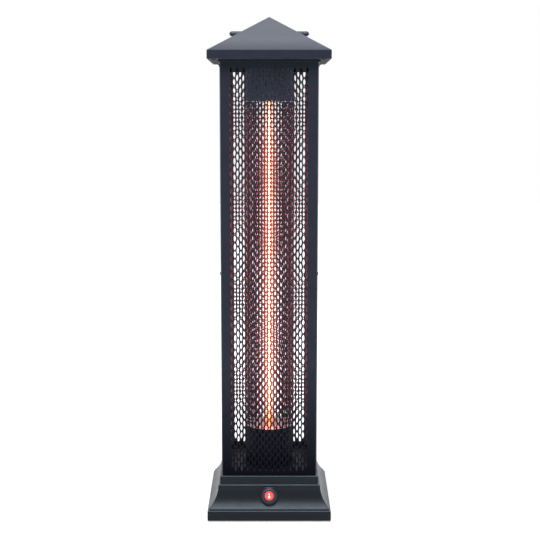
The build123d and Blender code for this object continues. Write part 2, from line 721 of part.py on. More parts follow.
def pierced_lips(tray):
    """A tray with the holes for the panel screws in its lips."""
    outer = COLUMN_HALF - 2 * SHEET
    for pin in cross_pins(SHEET_SCREW_RADIUS + SCREW_CLEARANCE, outer - SHEET, outer):
        tray -= pin
    return tray


def column_floor():
    """Tray that closes the column's foot, on the housing's deck."""
    tray = pierced_lips(Pos(0, 0, DECK_Z) * lipped_tray())
    hole = rod(SHEET_SCREW_RADIUS + SCREW_CLEARANCE, DECK_Z, TRAY_TOP_Z)
    for x, y in corners(TRAY_SCREW_X, TRAY_SCREW_Y):
        tray -= Pos(x, y, 0) * hole
    for x, y in drum_screw_points():
        tray -= Pos(x, y, 0) * hole
    tray -= Pos(0, GROMMET_Y, 0) * rod(GROMMET_RADIUS, DECK_Z, TRAY_TOP_Z)
    conduit_hole = rod(CONDUIT_RADIUS - CONDUIT_WALL, DECK_Z, TRAY_TOP_Z)
    return tray - Pos(-CONDUIT_PLACE, CONDUIT_PLACE, 0) * conduit_hole


def floor_screws():
    """Screws that hold the tray down on the deck."""
    screw = pan_screw(
        SHEET_SCREW_RADIUS, SHEET_SCREW_HEAD_RADIUS, SHEET_SCREW_HEAD_HEIGHT, SCREW_GRIP
    )
    return at_points(Pos(0, 0, TRAY_TOP_Z) * screw, corners(TRAY_SCREW_X, TRAY_SCREW_Y))


def column_top_plate():
    """The same tray upside down at the top of the column."""
    tray = pierced_lips(Pos(0, 0, COLUMN_TOP_Z) * Rot(180, 0, 0) * lipped_tray())
    hole = rod(SHEET_SCREW_RADIUS + SCREW_CLEARANCE, CEILING_Z, COLUMN_TOP_Z)
    bolt_hole = rod(SCREW_RADIUS + SCREW_CLEARANCE, CEILING_Z, COLUMN_TOP_Z)
    for x, y in corners(ROOF_BOLT_PLACE, ROOF_BOLT_PLACE):
        tray -= Pos(x, y, 0) * bolt_hole
    for x, y in drum_screw_points():
        tray -= Pos(x, y, 0) * hole
    conduit_hole = rod(CONDUIT_RADIUS - CONDUIT_WALL, CEILING_Z, COLUMN_TOP_Z)
    return tray - Pos(-CONDUIT_PLACE, CONDUIT_PLACE, 0) * conduit_hole


def wire_grommet():
    """Rubber ring with a groove, in the hole through the deck and the tray."""
    lip = GROMMET_RADIUS + GROMMET_LIP
    ring = rod(GROMMET_RADIUS, DECK_UNDER_Z, TRAY_TOP_Z)
    ring += rod(lip, DECK_UNDER_Z - GROMMET_LIP, DECK_UNDER_Z)
    ring += rod(lip, TRAY_TOP_Z, TRAY_TOP_Z + GROMMET_LIP)
    bore = rod(GROMMET_BORE, DECK_UNDER_Z - GROMMET_LIP, TRAY_TOP_Z + GROMMET_LIP)
    return Pos(0, GROMMET_Y, 0) * (ring - bore)


def lead_conduit():
    """Pipe for the upper lamp's lead, upright in the left rear corner."""
    pipe = tube(CONDUIT_RADIUS, CONDUIT_RADIUS - CONDUIT_WALL, TRAY_TOP_Z, CEILING_Z)
    return Pos(-CONDUIT_PLACE, CONDUIT_PLACE, 0) * pipe


# Lamp and guard


def drum_screw_points():
    """Plan points of the screws round each drum's flange."""
    radius = DRUM_RADIUS + DRUM_FLANGE / 2
    angles = [math.radians(DRUM_SCREW_TURN + 360 * k / DRUM_SCREWS) for k in range(DRUM_SCREWS)]
    return [(radius * math.cos(a), radius * math.sin(a)) for a in angles]


def flanged_drum(height):
    """Thin drum with an outward flange at z = 0, open at the other end."""
    drum = tube(DRUM_RADIUS, DRUM_RADIUS - DRUM_WALL, 0, height)
    drum += tube(DRUM_RADIUS + DRUM_FLANGE, DRUM_RADIUS - DRUM_WALL, 0, DRUM_WALL)
    hole = rod(SHEET_SCREW_RADIUS + SCREW_CLEARANCE, 0, DRUM_WALL)
    for x, y in drum_screw_points():
        drum -= Pos(x, y, 0) * hole
    return drum


def lower_drum():
    """Drum over the lower lamp holder, on the column's floor."""
    return Pos(0, 0, TRAY_TOP_Z) * flanged_drum(LOWER_DRUM_HEIGHT)


def upper_drum():
    """Drum over the upper lamp holder, under the column's top plate."""
    return flanged_drum(UPPER_DRUM_HEIGHT).mirror(Plane.XY).moved(Location((0, 0, CEILING_Z)))


def drum_screws():
    """Screws that hold both drums' flanges."""
    grip = DRUM_WALL + SHEET
    screw = pan_screw(SHEET_SCREW_RADIUS, SHEET_SCREW_HEAD_RADIUS, SHEET_SCREW_HEAD_HEIGHT, grip)
    lower = at_points(Pos(0, 0, TRAY_TOP_Z + DRUM_WALL) * screw, drum_screw_points())
    upper = Pos(0, 0, CEILING_Z - DRUM_WALL) * Rot(180, 0, 0) * screw
    return Compound(children=list(lower.solids()) + list(at_points(upper, drum_screw_points()).solids()))


def lower_reflector():
    """Bright disc on the rim of the lower drum."""
    hole = LAMP_RADIUS + REFLECTOR_GAP
    return tube(DRUM_RADIUS, hole, LOWER_REFLECTOR_Z, GUARD_BOTTOM_Z)


def upper_reflector():
    """Bright disc that closes the upper drum from below."""
    hole = LAMP_RADIUS + REFLECTOR_GAP
    return tube(DRUM_RADIUS, hole, GUARD_TOP_Z, UPPER_REFLECTOR_Z)


def inner_guard():
    """Round slotted guard between the two reflectors."""
    guard = tube(DRUM_RADIUS, DRUM_RADIUS - GUARD_WALL, GUARD_BOTTOM_Z, GUARD_TOP_Z)
    pitch = (GUARD_TOP_Z - GUARD_BOTTOM_Z - 2 * GUARD_MARGIN) / GUARD_ROWS
    slot = Box(2 * DRUM_RADIUS + GUARD_WALL, GUARD_SLOT_WIDTH, pitch - GUARD_SLOT_BRIDGE)
    cutters = []
    for turn in range(GUARD_COLUMNS // 2):
        for row in range(GUARD_ROWS):
            z = GUARD_BOTTOM_Z + GUARD_MARGIN + (row + 0.5) * pitch
            cutters.append(Pos(0, 0, z) * Rot(0, 0, 360 * turn / GUARD_COLUMNS) * slot)
    return guard - cutters


def lamp_tube():
    """Quartz tube, its ends in the ceramic caps."""
    return tube(LAMP_RADIUS, LAMP_RADIUS - LAMP_WALL, LAMP_BOTTOM_Z, LAMP_TOP_Z)


def lamp_filament():
    """Heating filament along the tube's axis."""
    return rod(FILAMENT_RADIUS, LAMP_BOTTOM_Z, LAMP_TOP_Z)


def lamp_cap():
    """Ceramic cap: bottom at z = 0, socket for the tube open at the top."""
    cap = rod(CAP_RADIUS, 0, CAP_HEIGHT)
    cap = chamfer(cap.edges(), CAP_CHAMFER)
    return cap - rod(LAMP_RADIUS + CAP_GAP, CAP_HEIGHT - CAP_SOCKET, CAP_HEIGHT)


def lamp_bracket():
    """Hat-shaped steel bracket: feet at z = 0, table at BRACKET_HEIGHT."""
    table = block(BRACKET_SPAN, BRACKET_WIDTH, BRACKET_HEIGHT - SHEET, BRACKET_HEIGHT)
    foot_x = (BRACKET_SPAN + BRACKET_FOOT) / 2
    leg_x = (BRACKET_SPAN - SHEET) / 2
    hat = table
    for side in (-1, 1):
        hat += Pos(side * leg_x, 0, 0) * block(SHEET, BRACKET_WIDTH, 0, BRACKET_HEIGHT)
        hat += Pos(side * foot_x, 0, 0) * block(BRACKET_FOOT, BRACKET_WIDTH, 0, SHEET)
    return hat


def thermal_cutout():
    """Round over-temperature switch on the column's floor, under the lower drum."""
    high = TRAY_TOP_Z + CUTOUT_HEIGHT
    body = rod(CUTOUT_RADIUS, TRAY_TOP_Z, high)
    body += block(CUTOUT_EAR_SPAN, CUTOUT_EAR_WIDTH, TRAY_TOP_Z, TRAY_TOP_Z + CUTOUT_FLANGE)
    tab = block(CUTOUT_TAB_WIDTH, TAB_THICKNESS, high, high + TAB_LENGTH)
    for side in (-1, 1):
        body += Pos(side * CUTOUT_TAB_PLACE, 0, 0) * tab
    return Pos(0, CUTOUT_Y, 0) * body


# Roof


def top_collar():
    """Square step between the column and the roof."""
    outer = block(COLLAR_WIDTH, COLLAR_WIDTH, COLUMN_TOP_Z, SOFFIT_Z)
    inner = COLLAR_WIDTH - 2 * COLLAR_WALL
    return outer - block(inner, inner, COLUMN_TOP_Z, SOFFIT_Z)


def roof_form(inset):
    """Solid pyramid on its fascia, moved inwards by a sheet thickness or none."""
    half = ROOF_HALF - inset
    drop = inset / math.cos(ROOF_ANGLE)
    eaves = FASCIA_TOP_Z - drop + inset * math.tan(ROOF_ANGLE)
    points = [(half, SOFFIT_Z), (half, eaves), (0, APEX_Z - drop)]
    return square_moulding(outline(points), points[0], points[-1])


def roof_cap():
    """Folded sheet roof: four slopes and an upright fascia."""
    cap = roof_form(0.0) - roof_form(SHEET)
    hole = rod(SCREW_RADIUS + SCREW_CLEARANCE, -2 * SHEET, SHEET)
    for plane in handle_planes():
        cap -= plane * hole
    return cap


def roof_soffit():
    """Plate that closes the roof from below and carries it on the collar."""
    width = ROOF_WIDTH - 2 * SHEET
    plate = block(width, width, SOFFIT_Z, SOFFIT_TOP_Z)
    hole = rod(SCREW_RADIUS + SCREW_CLEARANCE, SOFFIT_Z, SOFFIT_TOP_Z)
    for x, y in corners(ROOF_BOLT_PLACE, ROOF_BOLT_PLACE):
        plate -= Pos(x, y, 0) * hole
    for x, y in corners(SOFFIT_SCREW_PLACE, SOFFIT_SCREW_PLACE):
        plate -= Pos(x, y, 0) * hole
    return plate


def roof_posts():
    """Threaded posts welded under the slopes, their tops cut to the sheet."""
    inside = roof_form(SHEET)
    posts = []
    for x, y in corners(SOFFIT_SCREW_PLACE, SOFFIT_SCREW_PLACE):
        post = Pos(x, y, 0) * rod(ROOF_POST_RADIUS, SOFFIT_TOP_Z, APEX_Z)
        bore = Pos(x, y, 0) * rod(SCREW_RADIUS, SOFFIT_TOP_Z, SOFFIT_TOP_Z + SOFFIT_THREAD)
        posts.append(((post & inside) - bore).solid())
    return Compound(children=posts)


def soffit_screws():
    """Screws from below through the soffit into the roof posts."""
    grip = SHEET + SOFFIT_THREAD - THREAD_SPARE
    screw = pan_screw(SCREW_RADIUS, SCREW_HEAD_RADIUS, SCREW_HEAD_HEIGHT, grip)
    upright = Pos(0, 0, SOFFIT_Z) * Rot(180, 0, 0) * screw
    return at_points(upright, corners(SOFFIT_SCREW_PLACE, SOFFIT_SCREW_PLACE))


def shield_spacers():
    """Sleeves that hold the heat shield above the soffit."""
    sleeve = tube(SPACER_RADIUS, SCREW_RADIUS + SCREW_CLEARANCE, SOFFIT_TOP_Z, SHIELD_Z)
    return at_points(sleeve, corners(ROOF_BOLT_PLACE, ROOF_BOLT_PLACE))


def heat_shield():
    """Flat plate inside the roof, over the lamp."""
    high = SHIELD_Z + SHIELD_THICKNESS
    plate = block(SHIELD_WIDTH, SHIELD_WIDTH, SHIELD_Z, high)
    for x, y in corners(ROOF_BOLT_PLACE, ROOF_BOLT_PLACE):
        plate -= Pos(x, y, 0) * rod(SCREW_RADIUS + SCREW_CLEARANCE, SHIELD_Z, high)
    return plate


def roof_bolts():
    """Bolts from the column's top plate up through the soffit and the shield."""
    grip = SHIELD_Z + SHIELD_THICKNESS + NUT_HEIGHT + THREAD_END - CEILING_Z
    bolt = pan_screw(SCREW_RADIUS, SCREW_HEAD_RADIUS, SCREW_HEAD_HEIGHT, grip)
    upright = Pos(0, 0, CEILING_Z) * Rot(180, 0, 0) * bolt
    return at_points(upright, corners(ROOF_BOLT_PLACE, ROOF_BOLT_PLACE))


def roof_nuts():
    """Nuts of the roof bolts, on the heat shield."""
    low = SHIELD_Z + SHIELD_THICKNESS
    nut = hexagon(NUT_FLATS, low, low + NUT_HEIGHT) - rod(SCREW_RADIUS, low, low + NUT_HEIGHT)
    return at_points(nut, corners(ROOF_BOLT_PLACE, ROOF_BOLT_PLACE))


# Handle, drawn square to the back slope


def slope_plane(x):
    """Plane on the roof's back slope at the height of the handle."""
    y = ROOF_HALF - HANDLE_UP_SLOPE * math.cos(ROOF_ANGLE)
    z = FASCIA_TOP_Z + HANDLE_UP_SLOPE * math.sin(ROOF_ANGLE)
    normal = (0, math.sin(ROOF_ANGLE), math.cos(ROOF_ANGLE))
    return Plane(origin=(x, y, z), x_dir=(1, 0, 0), z_dir=normal)


def handle_planes():
    """Planes on the back slope under the two handle posts."""
    return [slope_plane(side * HANDLE_SPAN / 2) for side in (-1, 1)]


def handle_post():
    """One post: foot on the roof at z = 0, threaded from below, top inside the grip."""
    post = rod(HANDLE_POST_RADIUS, 0, HANDLE_REACH)
    post += rod(HANDLE_FOOT_RADIUS, 0, HANDLE_FOOT_HEIGHT)
    return post - rod(SCREW_RADIUS, 0, HANDLE_SCREW_DEPTH)


def handle_posts():
    """Both handle posts."""
    return Compound(children=[(plane * handle_post()).solid() for plane in handle_planes()])


def handle_grip():
    """Round bar with rounded ends, with a socket for each post."""
    bar = Rot(0, 90, 0) * Cylinder(GRIP_RADIUS, GRIP_LENGTH)
    bar = fillet(bar.edges().filter_by(GeomType.CIRCLE), GRIP_EDGE)
    grip = Pos(0, 0, HANDLE_REACH) * bar
    for side in (-1, 1):
        grip -= Pos(side * HANDLE_SPAN / 2, 0, 0) * rod(HANDLE_POST_RADIUS, 0, HANDLE_REACH)
    return slope_plane(0) * grip


def handle_screws():
    """Screws from inside the roof up into the handle posts."""
    grip = SHEET + HANDLE_SCREW_DEPTH - THREAD_SPARE
    screw = pan_screw(SCREW_RADIUS, SCREW_HEAD_RADIUS, SCREW_HEAD_HEIGHT, grip)
    upright = Pos(0, 0, -SHEET) * Rot(180, 0, 0) * screw
    return Compound(children=[(plane * upright).solid() for plane in handle_planes()])


def nodes():
    """Every piece of the heater under its name."""
    front = front_panel()
    side = side_panel()
    cap = lamp_cap()
    bracket = lamp_bracket()
    return {
        "base_housing": base_housing(),
        "base_plate": base_plate(),
        "base_screws": base_screws(),
        "ballast_plate": ballast_plate(),
        "ballast_screws": ballast_screws(),
        "rubber_feet": rubber_feet(),
        "foot_screws": foot_screws(),
        "foot_nuts": foot_nuts(),
        "button_gasket": button_gasket(),
        "button_bezel": button_bezel(),
        "button_nut": button_nut(),
        "power_button": power_button(),
        "button_lens": button_lens(),
        "contact_block": contact_block(),
        "cord_gland": cord_gland(),
        "gland_bung": gland_bung(),
        "gland_nut": gland_nut(),
        "tip_switch_body": tip_switch_body(),
        "tip_plunger": tip_plunger(),
        "terminal_block": terminal_block(),
        "column_floor": column_floor(),
        "floor_screws": floor_screws(),
        "wire_grommet": wire_grommet(),
        "front_panel": front,
        "back_panel": front.rotate(Axis.Z, 180),
        "right_panel": side,
        "left_panel": side.rotate(Axis.Z, 180),
        "panel_screws": panel_screws(),
        "column_top_plate": column_top_plate(),
        "lead_conduit": lead_conduit(),
        "lower_drum": lower_drum(),
        "upper_drum": upper_drum(),
        "drum_screws": drum_screws(),
        "lower_reflector": lower_reflector(),
        "upper_reflector": upper_reflector(),
        "inner_guard": inner_guard(),
        "lamp_tube": lamp_tube(),
        "lamp_filament": lamp_filament(),
        "lower_lamp_cap": Pos(0, 0, LOWER_CAP_Z) * cap,
        "upper_lamp_cap": Pos(0, 0, UPPER_CAP_TOP_Z) * Rot(180, 0, 0) * cap,
        "lower_lamp_bracket": Pos(0, 0, TRAY_TOP_Z) * bracket,
        "upper_lamp_bracket": Pos(0, 0, CEILING_Z) * Rot(180, 0, 0) * bracket,
        "thermal_cutout": thermal_cutout(),
        "top_collar": top_collar(),
        "roof_soffit": roof_soffit(),
        "roof_cap": roof_cap(),
        "roof_posts": roof_posts(),
        "soffit_screws": soffit_screws(),
        "shield_spacers": shield_spacers(),
        "heat_shield": heat_shield(),
        "roof_bolts": roof_bolts(),
        "roof_nuts": roof_nuts(),
        "handle_posts": handle_posts(),
        "handle_grip": handle_grip(),
        "handle_screws": handle_screws(),
    }


os.makedirs("parts", exist_ok=True)
for name, shape in nodes().items():
    export_step(shape, f"parts/{name}.step")
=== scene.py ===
"""Looks of the lantern patio heater: meshes, finishes, light and camera round its solids."""

import json
import logging
import math
from collections.abc import Callable, Sequence
from dataclasses import dataclass
from enum import Enum, IntEnum

import bpy
import numpy as np
from mathutils import Matrix, Vector

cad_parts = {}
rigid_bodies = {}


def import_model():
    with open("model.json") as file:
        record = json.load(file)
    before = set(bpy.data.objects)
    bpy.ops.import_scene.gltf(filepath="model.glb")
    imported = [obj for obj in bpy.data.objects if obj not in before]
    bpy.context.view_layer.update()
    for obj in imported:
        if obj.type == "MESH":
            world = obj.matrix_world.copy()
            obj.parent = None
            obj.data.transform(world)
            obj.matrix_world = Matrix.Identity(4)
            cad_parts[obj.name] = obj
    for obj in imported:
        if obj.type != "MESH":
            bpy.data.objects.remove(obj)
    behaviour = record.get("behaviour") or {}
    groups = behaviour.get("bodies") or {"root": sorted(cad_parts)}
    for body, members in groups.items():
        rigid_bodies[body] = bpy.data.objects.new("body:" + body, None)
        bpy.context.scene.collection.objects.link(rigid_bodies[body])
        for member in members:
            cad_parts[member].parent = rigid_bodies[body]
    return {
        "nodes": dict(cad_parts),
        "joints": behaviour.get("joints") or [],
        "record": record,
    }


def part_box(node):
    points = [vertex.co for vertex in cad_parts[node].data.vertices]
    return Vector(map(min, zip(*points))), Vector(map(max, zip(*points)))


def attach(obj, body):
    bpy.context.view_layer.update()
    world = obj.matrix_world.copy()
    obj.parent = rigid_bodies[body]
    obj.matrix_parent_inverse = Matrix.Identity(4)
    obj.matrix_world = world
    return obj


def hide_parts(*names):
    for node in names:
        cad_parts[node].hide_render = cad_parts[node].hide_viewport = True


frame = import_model()

LOG = logging.getLogger("heater")
WELD = 1e-6
SMOOTH_ANGLE = math.radians(32.0)
CORNER_STEPS = 4
PLUG_SEGMENTS = 96
GASKET = 0.0008
COAT = (0.015, 0.017, 0.026)
PALE_STEEL = (0.34, 0.30, 0.34)
LENS_CENTRE = 0.009
NEUTRAL = (1.0, 1.0, 1.0)

# Middle range of a noise pattern, which its colours and numbers follow
PATTERN_LOW, PATTERN_HIGH = 0.3, 0.7

# Places of the colour sockets of a Mix node, whose names repeat
MIX_FIRST, MIX_SECOND, MIX_RESULT = 6, 7, 2

Socket = bpy.types.NodeSocket
Colour = tuple[float, float, float]
Point = tuple[float, float, float]
Cells = tuple[np.ndarray, list[np.ndarray]]
Placer = Callable[[np.ndarray, np.ndarray, float], np.ndarray]


class Body(Enum):
    """Bodies of the frame that a piece can ride on."""

    HEATER = "heater"
    BUTTON = "button"


class Slot(Enum):
    """Material slots of the record, each with one finish."""

    FOOT = "foot_moulding"
    SHEET = "black_sheet"
    DRUM = "lamp_drum"
    PLATE = "plate_steel"
    ZINC = "zinc_steel"
    BLACK_SCREW = "black_screws"
    RUBBER = "black_rubber"
    BEZEL = "bezel_plastic"
    BUTTON = "button_plastic"
    LENS = "red_lens"
    NYLON = "dark_nylon"
    PALE_NYLON = "pale_nylon"
    REFLECTOR = "reflector_metal"
    QUARTZ = "quartz"
    FILAMENT = "hot_filament"
    CERAMIC = "lamp_ceramic"
    GRIP = "grip_plastic"


@dataclass
class Shell:
    """Surface of one piece: points in metres, and faces of three or four point numbers."""

    points: np.ndarray
    faces: list[np.ndarray]

    def placed(self, matrix: Matrix) -> "Shell":
        """The same surface moved by a matrix."""
        m = np.array(matrix, float)
        return Shell(self.points @ m[:3, :3].T + m[:3, 3], self.faces)

    def joined(self, *others: "Shell") -> "Shell":
        """This surface and others as one.

        Args:
            others: Surfaces whose points and faces are added.

        Returns:
            The joined surface, not welded.
        """
        points, faces = [self.points], list(self.faces)
        count = len(self.points)
        for other in others:
            faces += [numbers + count for numbers in other.faces]
            points.append(other.points)
            count += len(other.points)
        return Shell(np.concatenate(points), faces)

    def welded(self) -> "Shell":
        """The surface with one point at each place; a quad that loses a corner is a triangle.

        Returns:
            The welded surface, without the faces that shrink to a line.
        """
        keys = np.round(self.points / WELD).astype(np.int64)
        _, first, number = np.unique(keys, axis=0, return_index=True, return_inverse=True)
        number = number.reshape(-1)
        kept = []
        for corners in self.faces:
            corners = number[corners]
            same = corners == np.roll(corners, -1, axis=1)
            lost = same.sum(axis=1)
            kept.append(corners[lost == 0])
            if corners.shape[1] == 4:
                kept.append(corners[lost == 1][~same[lost == 1]].reshape(-1, 3))
        return Shell(self.points[first], [corners for corners in kept if len(corners)])

    def open_edges(self) -> np.ndarray:
        """Directed edges that only one face has.

        Returns:
            Pairs of point numbers, in the direction in which the face passes them.
        """
        loops = [np.stack([f, np.roll(f, -1, axis=1)], -1).reshape(-1, 2) for f in self.faces]
        edges = np.concatenate(loops)
        count = len(self.points)
        forward = edges[:, 0] * count + edges[:, 1]
        backward = edges[:, 1] * count + edges[:, 0]
        return edges[~np.isin(forward, backward)]

    def thickened(self, inner: np.ndarray) -> "Shell":
        """A sheet closed by its inner side and by a wall along every open edge.

        Args:
            inner: For each point of this surface, its partner on the inner side.

        Returns:
            The closed surface.
        """
        count = len(self.points)
        edges = self.open_edges()
        start, end = edges[:, 0], edges[:, 1]
        walls = np.stack([end, start, start + count, end + count], -1)
        back = [corners[:, ::-1] + count for corners in self.faces]
        return Shell(np.concatenate([self.points, inner]), self.faces + back + [walls])


def grid_quads(rows: int, columns: int, round_rows: bool, round_columns: bool) -> np.ndarray:
    """Quads between the points of a grid stored row by row.

    Args:
        rows: Number of rows of points.
        columns: Number of points in a row.
        round_rows: True where the last row joins the first.
        round_columns: True where the end of a row joins its start.

    Returns:
        Four point numbers for each quad.
    """
    i = np.arange(rows if round_rows else rows - 1)[:, None]
    j = np.arange(columns if round_columns else columns - 1)[None, :]
    i_next, j_next = (i + 1) % rows, (j + 1) % columns
    corners = [i * columns + j, i * columns + j_next]
    corners += [i_next * columns + j_next, i_next * columns + j]
    return np.stack(np.broadcast_arrays(*corners), -1).reshape(-1, 4)


def rounded(points: Sequence[tuple], radii: Sequence[float], closed: bool) -> np.ndarray:
    """Outline with its corners rounded: each corner gives way to the arc tangent to both sides.

    Args:
        points: Corners of the outline, as two coordinates each.
        radii: Radius at each corner, zero where it stays sharp.
        closed: True where the last corner joins the first.

    Returns:
        The outline's points, two coordinates a row.
    """
    corners = np.array(points, float)
    made: list[np.ndarray] = []
    for k, (corner, radius) in enumerate(zip(corners, radii)):
        at_end = not closed and k in (0, len(corners) - 1)
        if radius == 0 or at_end:
            made.append(corner[None])
            continue
        to_last = corners[k - 1] - corner
        to_next = corners[(k + 1) % len(corners)] - corner
        u, v = to_last / np.linalg.norm(to_last), to_next / np.linalg.norm(to_next)
        half_angle = math.acos(float(np.clip(u @ v, -1, 1))) / 2
        middle = (u + v) / np.linalg.norm(u + v)
        centre = corner + middle * radius / math.sin(half_angle)
        reach = radius / math.tan(half_angle)
        start, end = corner + u * reach - centre, corner + v * reach - centre
        turn = math.pi - 2 * half_angle
        t = np.linspace(0, 1, CORNER_STEPS + 1)[:, None]
        arc = (np.sin((1 - t) * turn) * start + np.sin(t * turn) * end) / math.sin(turn)
        made.append(centre + arc)
    return np.concatenate(made)


def round_rings(profile: np.ndarray, segments: int, closed: bool) -> Shell:
    """Turned surface: each profile point (radius, height) goes once round the Z axis.

    Args:
        profile: Radii and heights.
        segments: Flat pieces in each ring.
        closed: True where the profile's last point joins its first.

    Returns:
        The welded surface.
    """
    turn = np.arange(segments) * 2 * math.pi / segments
    radius, height = profile[:, 0, None], profile[:, 1, None]
    points = np.stack(np.broadcast_arrays(radius * np.cos(turn), radius * np.sin(turn), height), -1)
    faces = grid_quads(len(profile), segments, closed, True)
    return Shell(points.reshape(-1, 3), [faces]).welded()


def square_rings(profile: np.ndarray, corner: float, closed: bool, splits: int = 1) -> Shell:
    """Moulding that goes round a square: each profile point (half width, height) is one ring.

    A ring is four straight sides and four quarter arcs. The arc's radius is the corner's, or
    the ring's half width where that is less, so a ring of no width closes to a point.

    Args:
        profile: Half widths and heights.
        corner: Radius of the upright corners.
        closed: True where the profile's last point joins its first.
        splits: Equal pieces that each straight side is divided into.

    Returns:
        The welded surface.
    """
    half, height = profile[:, 0, None], profile[:, 1, None]
    radius = np.minimum(corner, half)
    straight = half - radius
    along = np.linspace(-1, 1, splits + 1)[None, :-1] * straight
    turn = np.linspace(0, math.pi / 2, CORNER_STEPS + 1)[None, :]
    x = np.concatenate([np.broadcast_to(half, along.shape), straight + radius * np.cos(turn)], 1)
    y = np.concatenate([along, straight + radius * np.sin(turn)], 1)
    quarters = [(x, y), (-y, x), (-x, -y), (y, -x)]
    ring_x = np.concatenate([q[0] for q in quarters], 1)
    ring_y = np.concatenate([q[1] for q in quarters], 1)
    points = np.stack(np.broadcast_arrays(ring_x, ring_y, height), -1)
    faces = grid_quads(len(profile), ring_x.shape[1], closed, True)
    return Shell(points.reshape(-1, 3), [faces]).welded()


def mesh_of(shell: Shell, name: str) -> bpy.types.Mesh:
    """Mesh with a shell's points and faces.

    Args:
        shell: The surface.
        name: Name of the mesh.

    Returns:
        The mesh, without a material.
    """
    mesh = bpy.data.meshes.new(name)
    faces = [corners for block in shell.faces for corners in block.tolist()]
    mesh.from_pydata(shell.points.tolist(), [], faces)
    return mesh


def add_mesh(
    mesh: bpy.types.Mesh,
    material: bpy.types.Material,
    replaced: Sequence[str] = (),
    body: Body = Body.HEATER,
    even_normals: bool = False,
) -> None:
    """Shading is smooth, with sharp edges where faces meet at a clear angle.

    Args:
        mesh: The finished shape, in the frame's coordinates.
        material: Its finish.
        replaced: Solids that the piece stands for.
        body: Body that it moves with.
        even_normals: True for a piece with narrow rounded edges between flat faces.
    """
    mesh.materials.clear()
    mesh.materials.append(material)
    mesh.update()
    mesh.shade_smooth()
    mesh.set_sharp_from_angle(angle=SMOOTH_ANGLE)
    piece = bpy.data.objects.new(mesh.name, mesh)
    bpy.context.scene.collection.objects.link(piece)
    if even_normals:
        weighted = piece.modifiers.new("even_normals", "WEIGHTED_NORMAL")
        weighted.keep_sharp = True
    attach(piece, body.value)
    if replaced:
        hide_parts(*replaced)
    LOG.info("%s: %d faces, for %s", piece.name, len(mesh.polygons), ", ".join(replaced))


def add_piece(
    name: str,
    shell: Shell,
    material: bpy.types.Material,
    replaced: Sequence[str] = (),
    body: Body = Body.HEATER,
    even_normals: bool = False,
) -> None:
    """Makes the object of one surface, as add_mesh does for a mesh.

    Args:
        name: Name of the piece.
        shell: Its surface, in the frame's coordinates.
        material: Its finish.
        replaced: Solids that the piece stands for.
        body: Body that it moves with.
        even_normals: True for a piece with narrow rounded edges between flat faces.
    """
    add_mesh(mesh_of(shell, name), material, replaced, body, even_normals)


def cut_mesh(
    base: Shell, added: Sequence[Shell], removed: Sequence[Shell], name: str
) -> bpy.types.Mesh:
    """Mesh of one closed surface with others fused to it and then others cut from it.

    Args:
        base: The surface to start from.
        added: Closed surfaces that are fused to it.
        removed: Closed surfaces that are cut from the result.
        name: Name of the mesh.

    Returns:
        The finished mesh.
    """
    scene = bpy.context.scene.collection.objects
    made = []
    for shell in (base, *added, *removed):
        mesh = mesh_of(shell, "part_of_" + name)
        made.append(bpy.data.objects.new(mesh.name, mesh))
        scene.link(made[-1])
    for k, tool in enumerate(made[1:]):
        step = made[0].modifiers.new("step", "BOOLEAN")
        step.solver = "EXACT"
        step.operation = "UNION" if k < len(added) else "DIFFERENCE"
        step.object = tool
    bpy.context.view_layer.update()
    ready = made[0].evaluated_get(bpy.context.evaluated_depsgraph_get())
    result = bpy.data.meshes.new_from_object(ready)
    for part in made:
        bpy.data.objects.remove(part)
    result.name = name
    return result


# Finishes


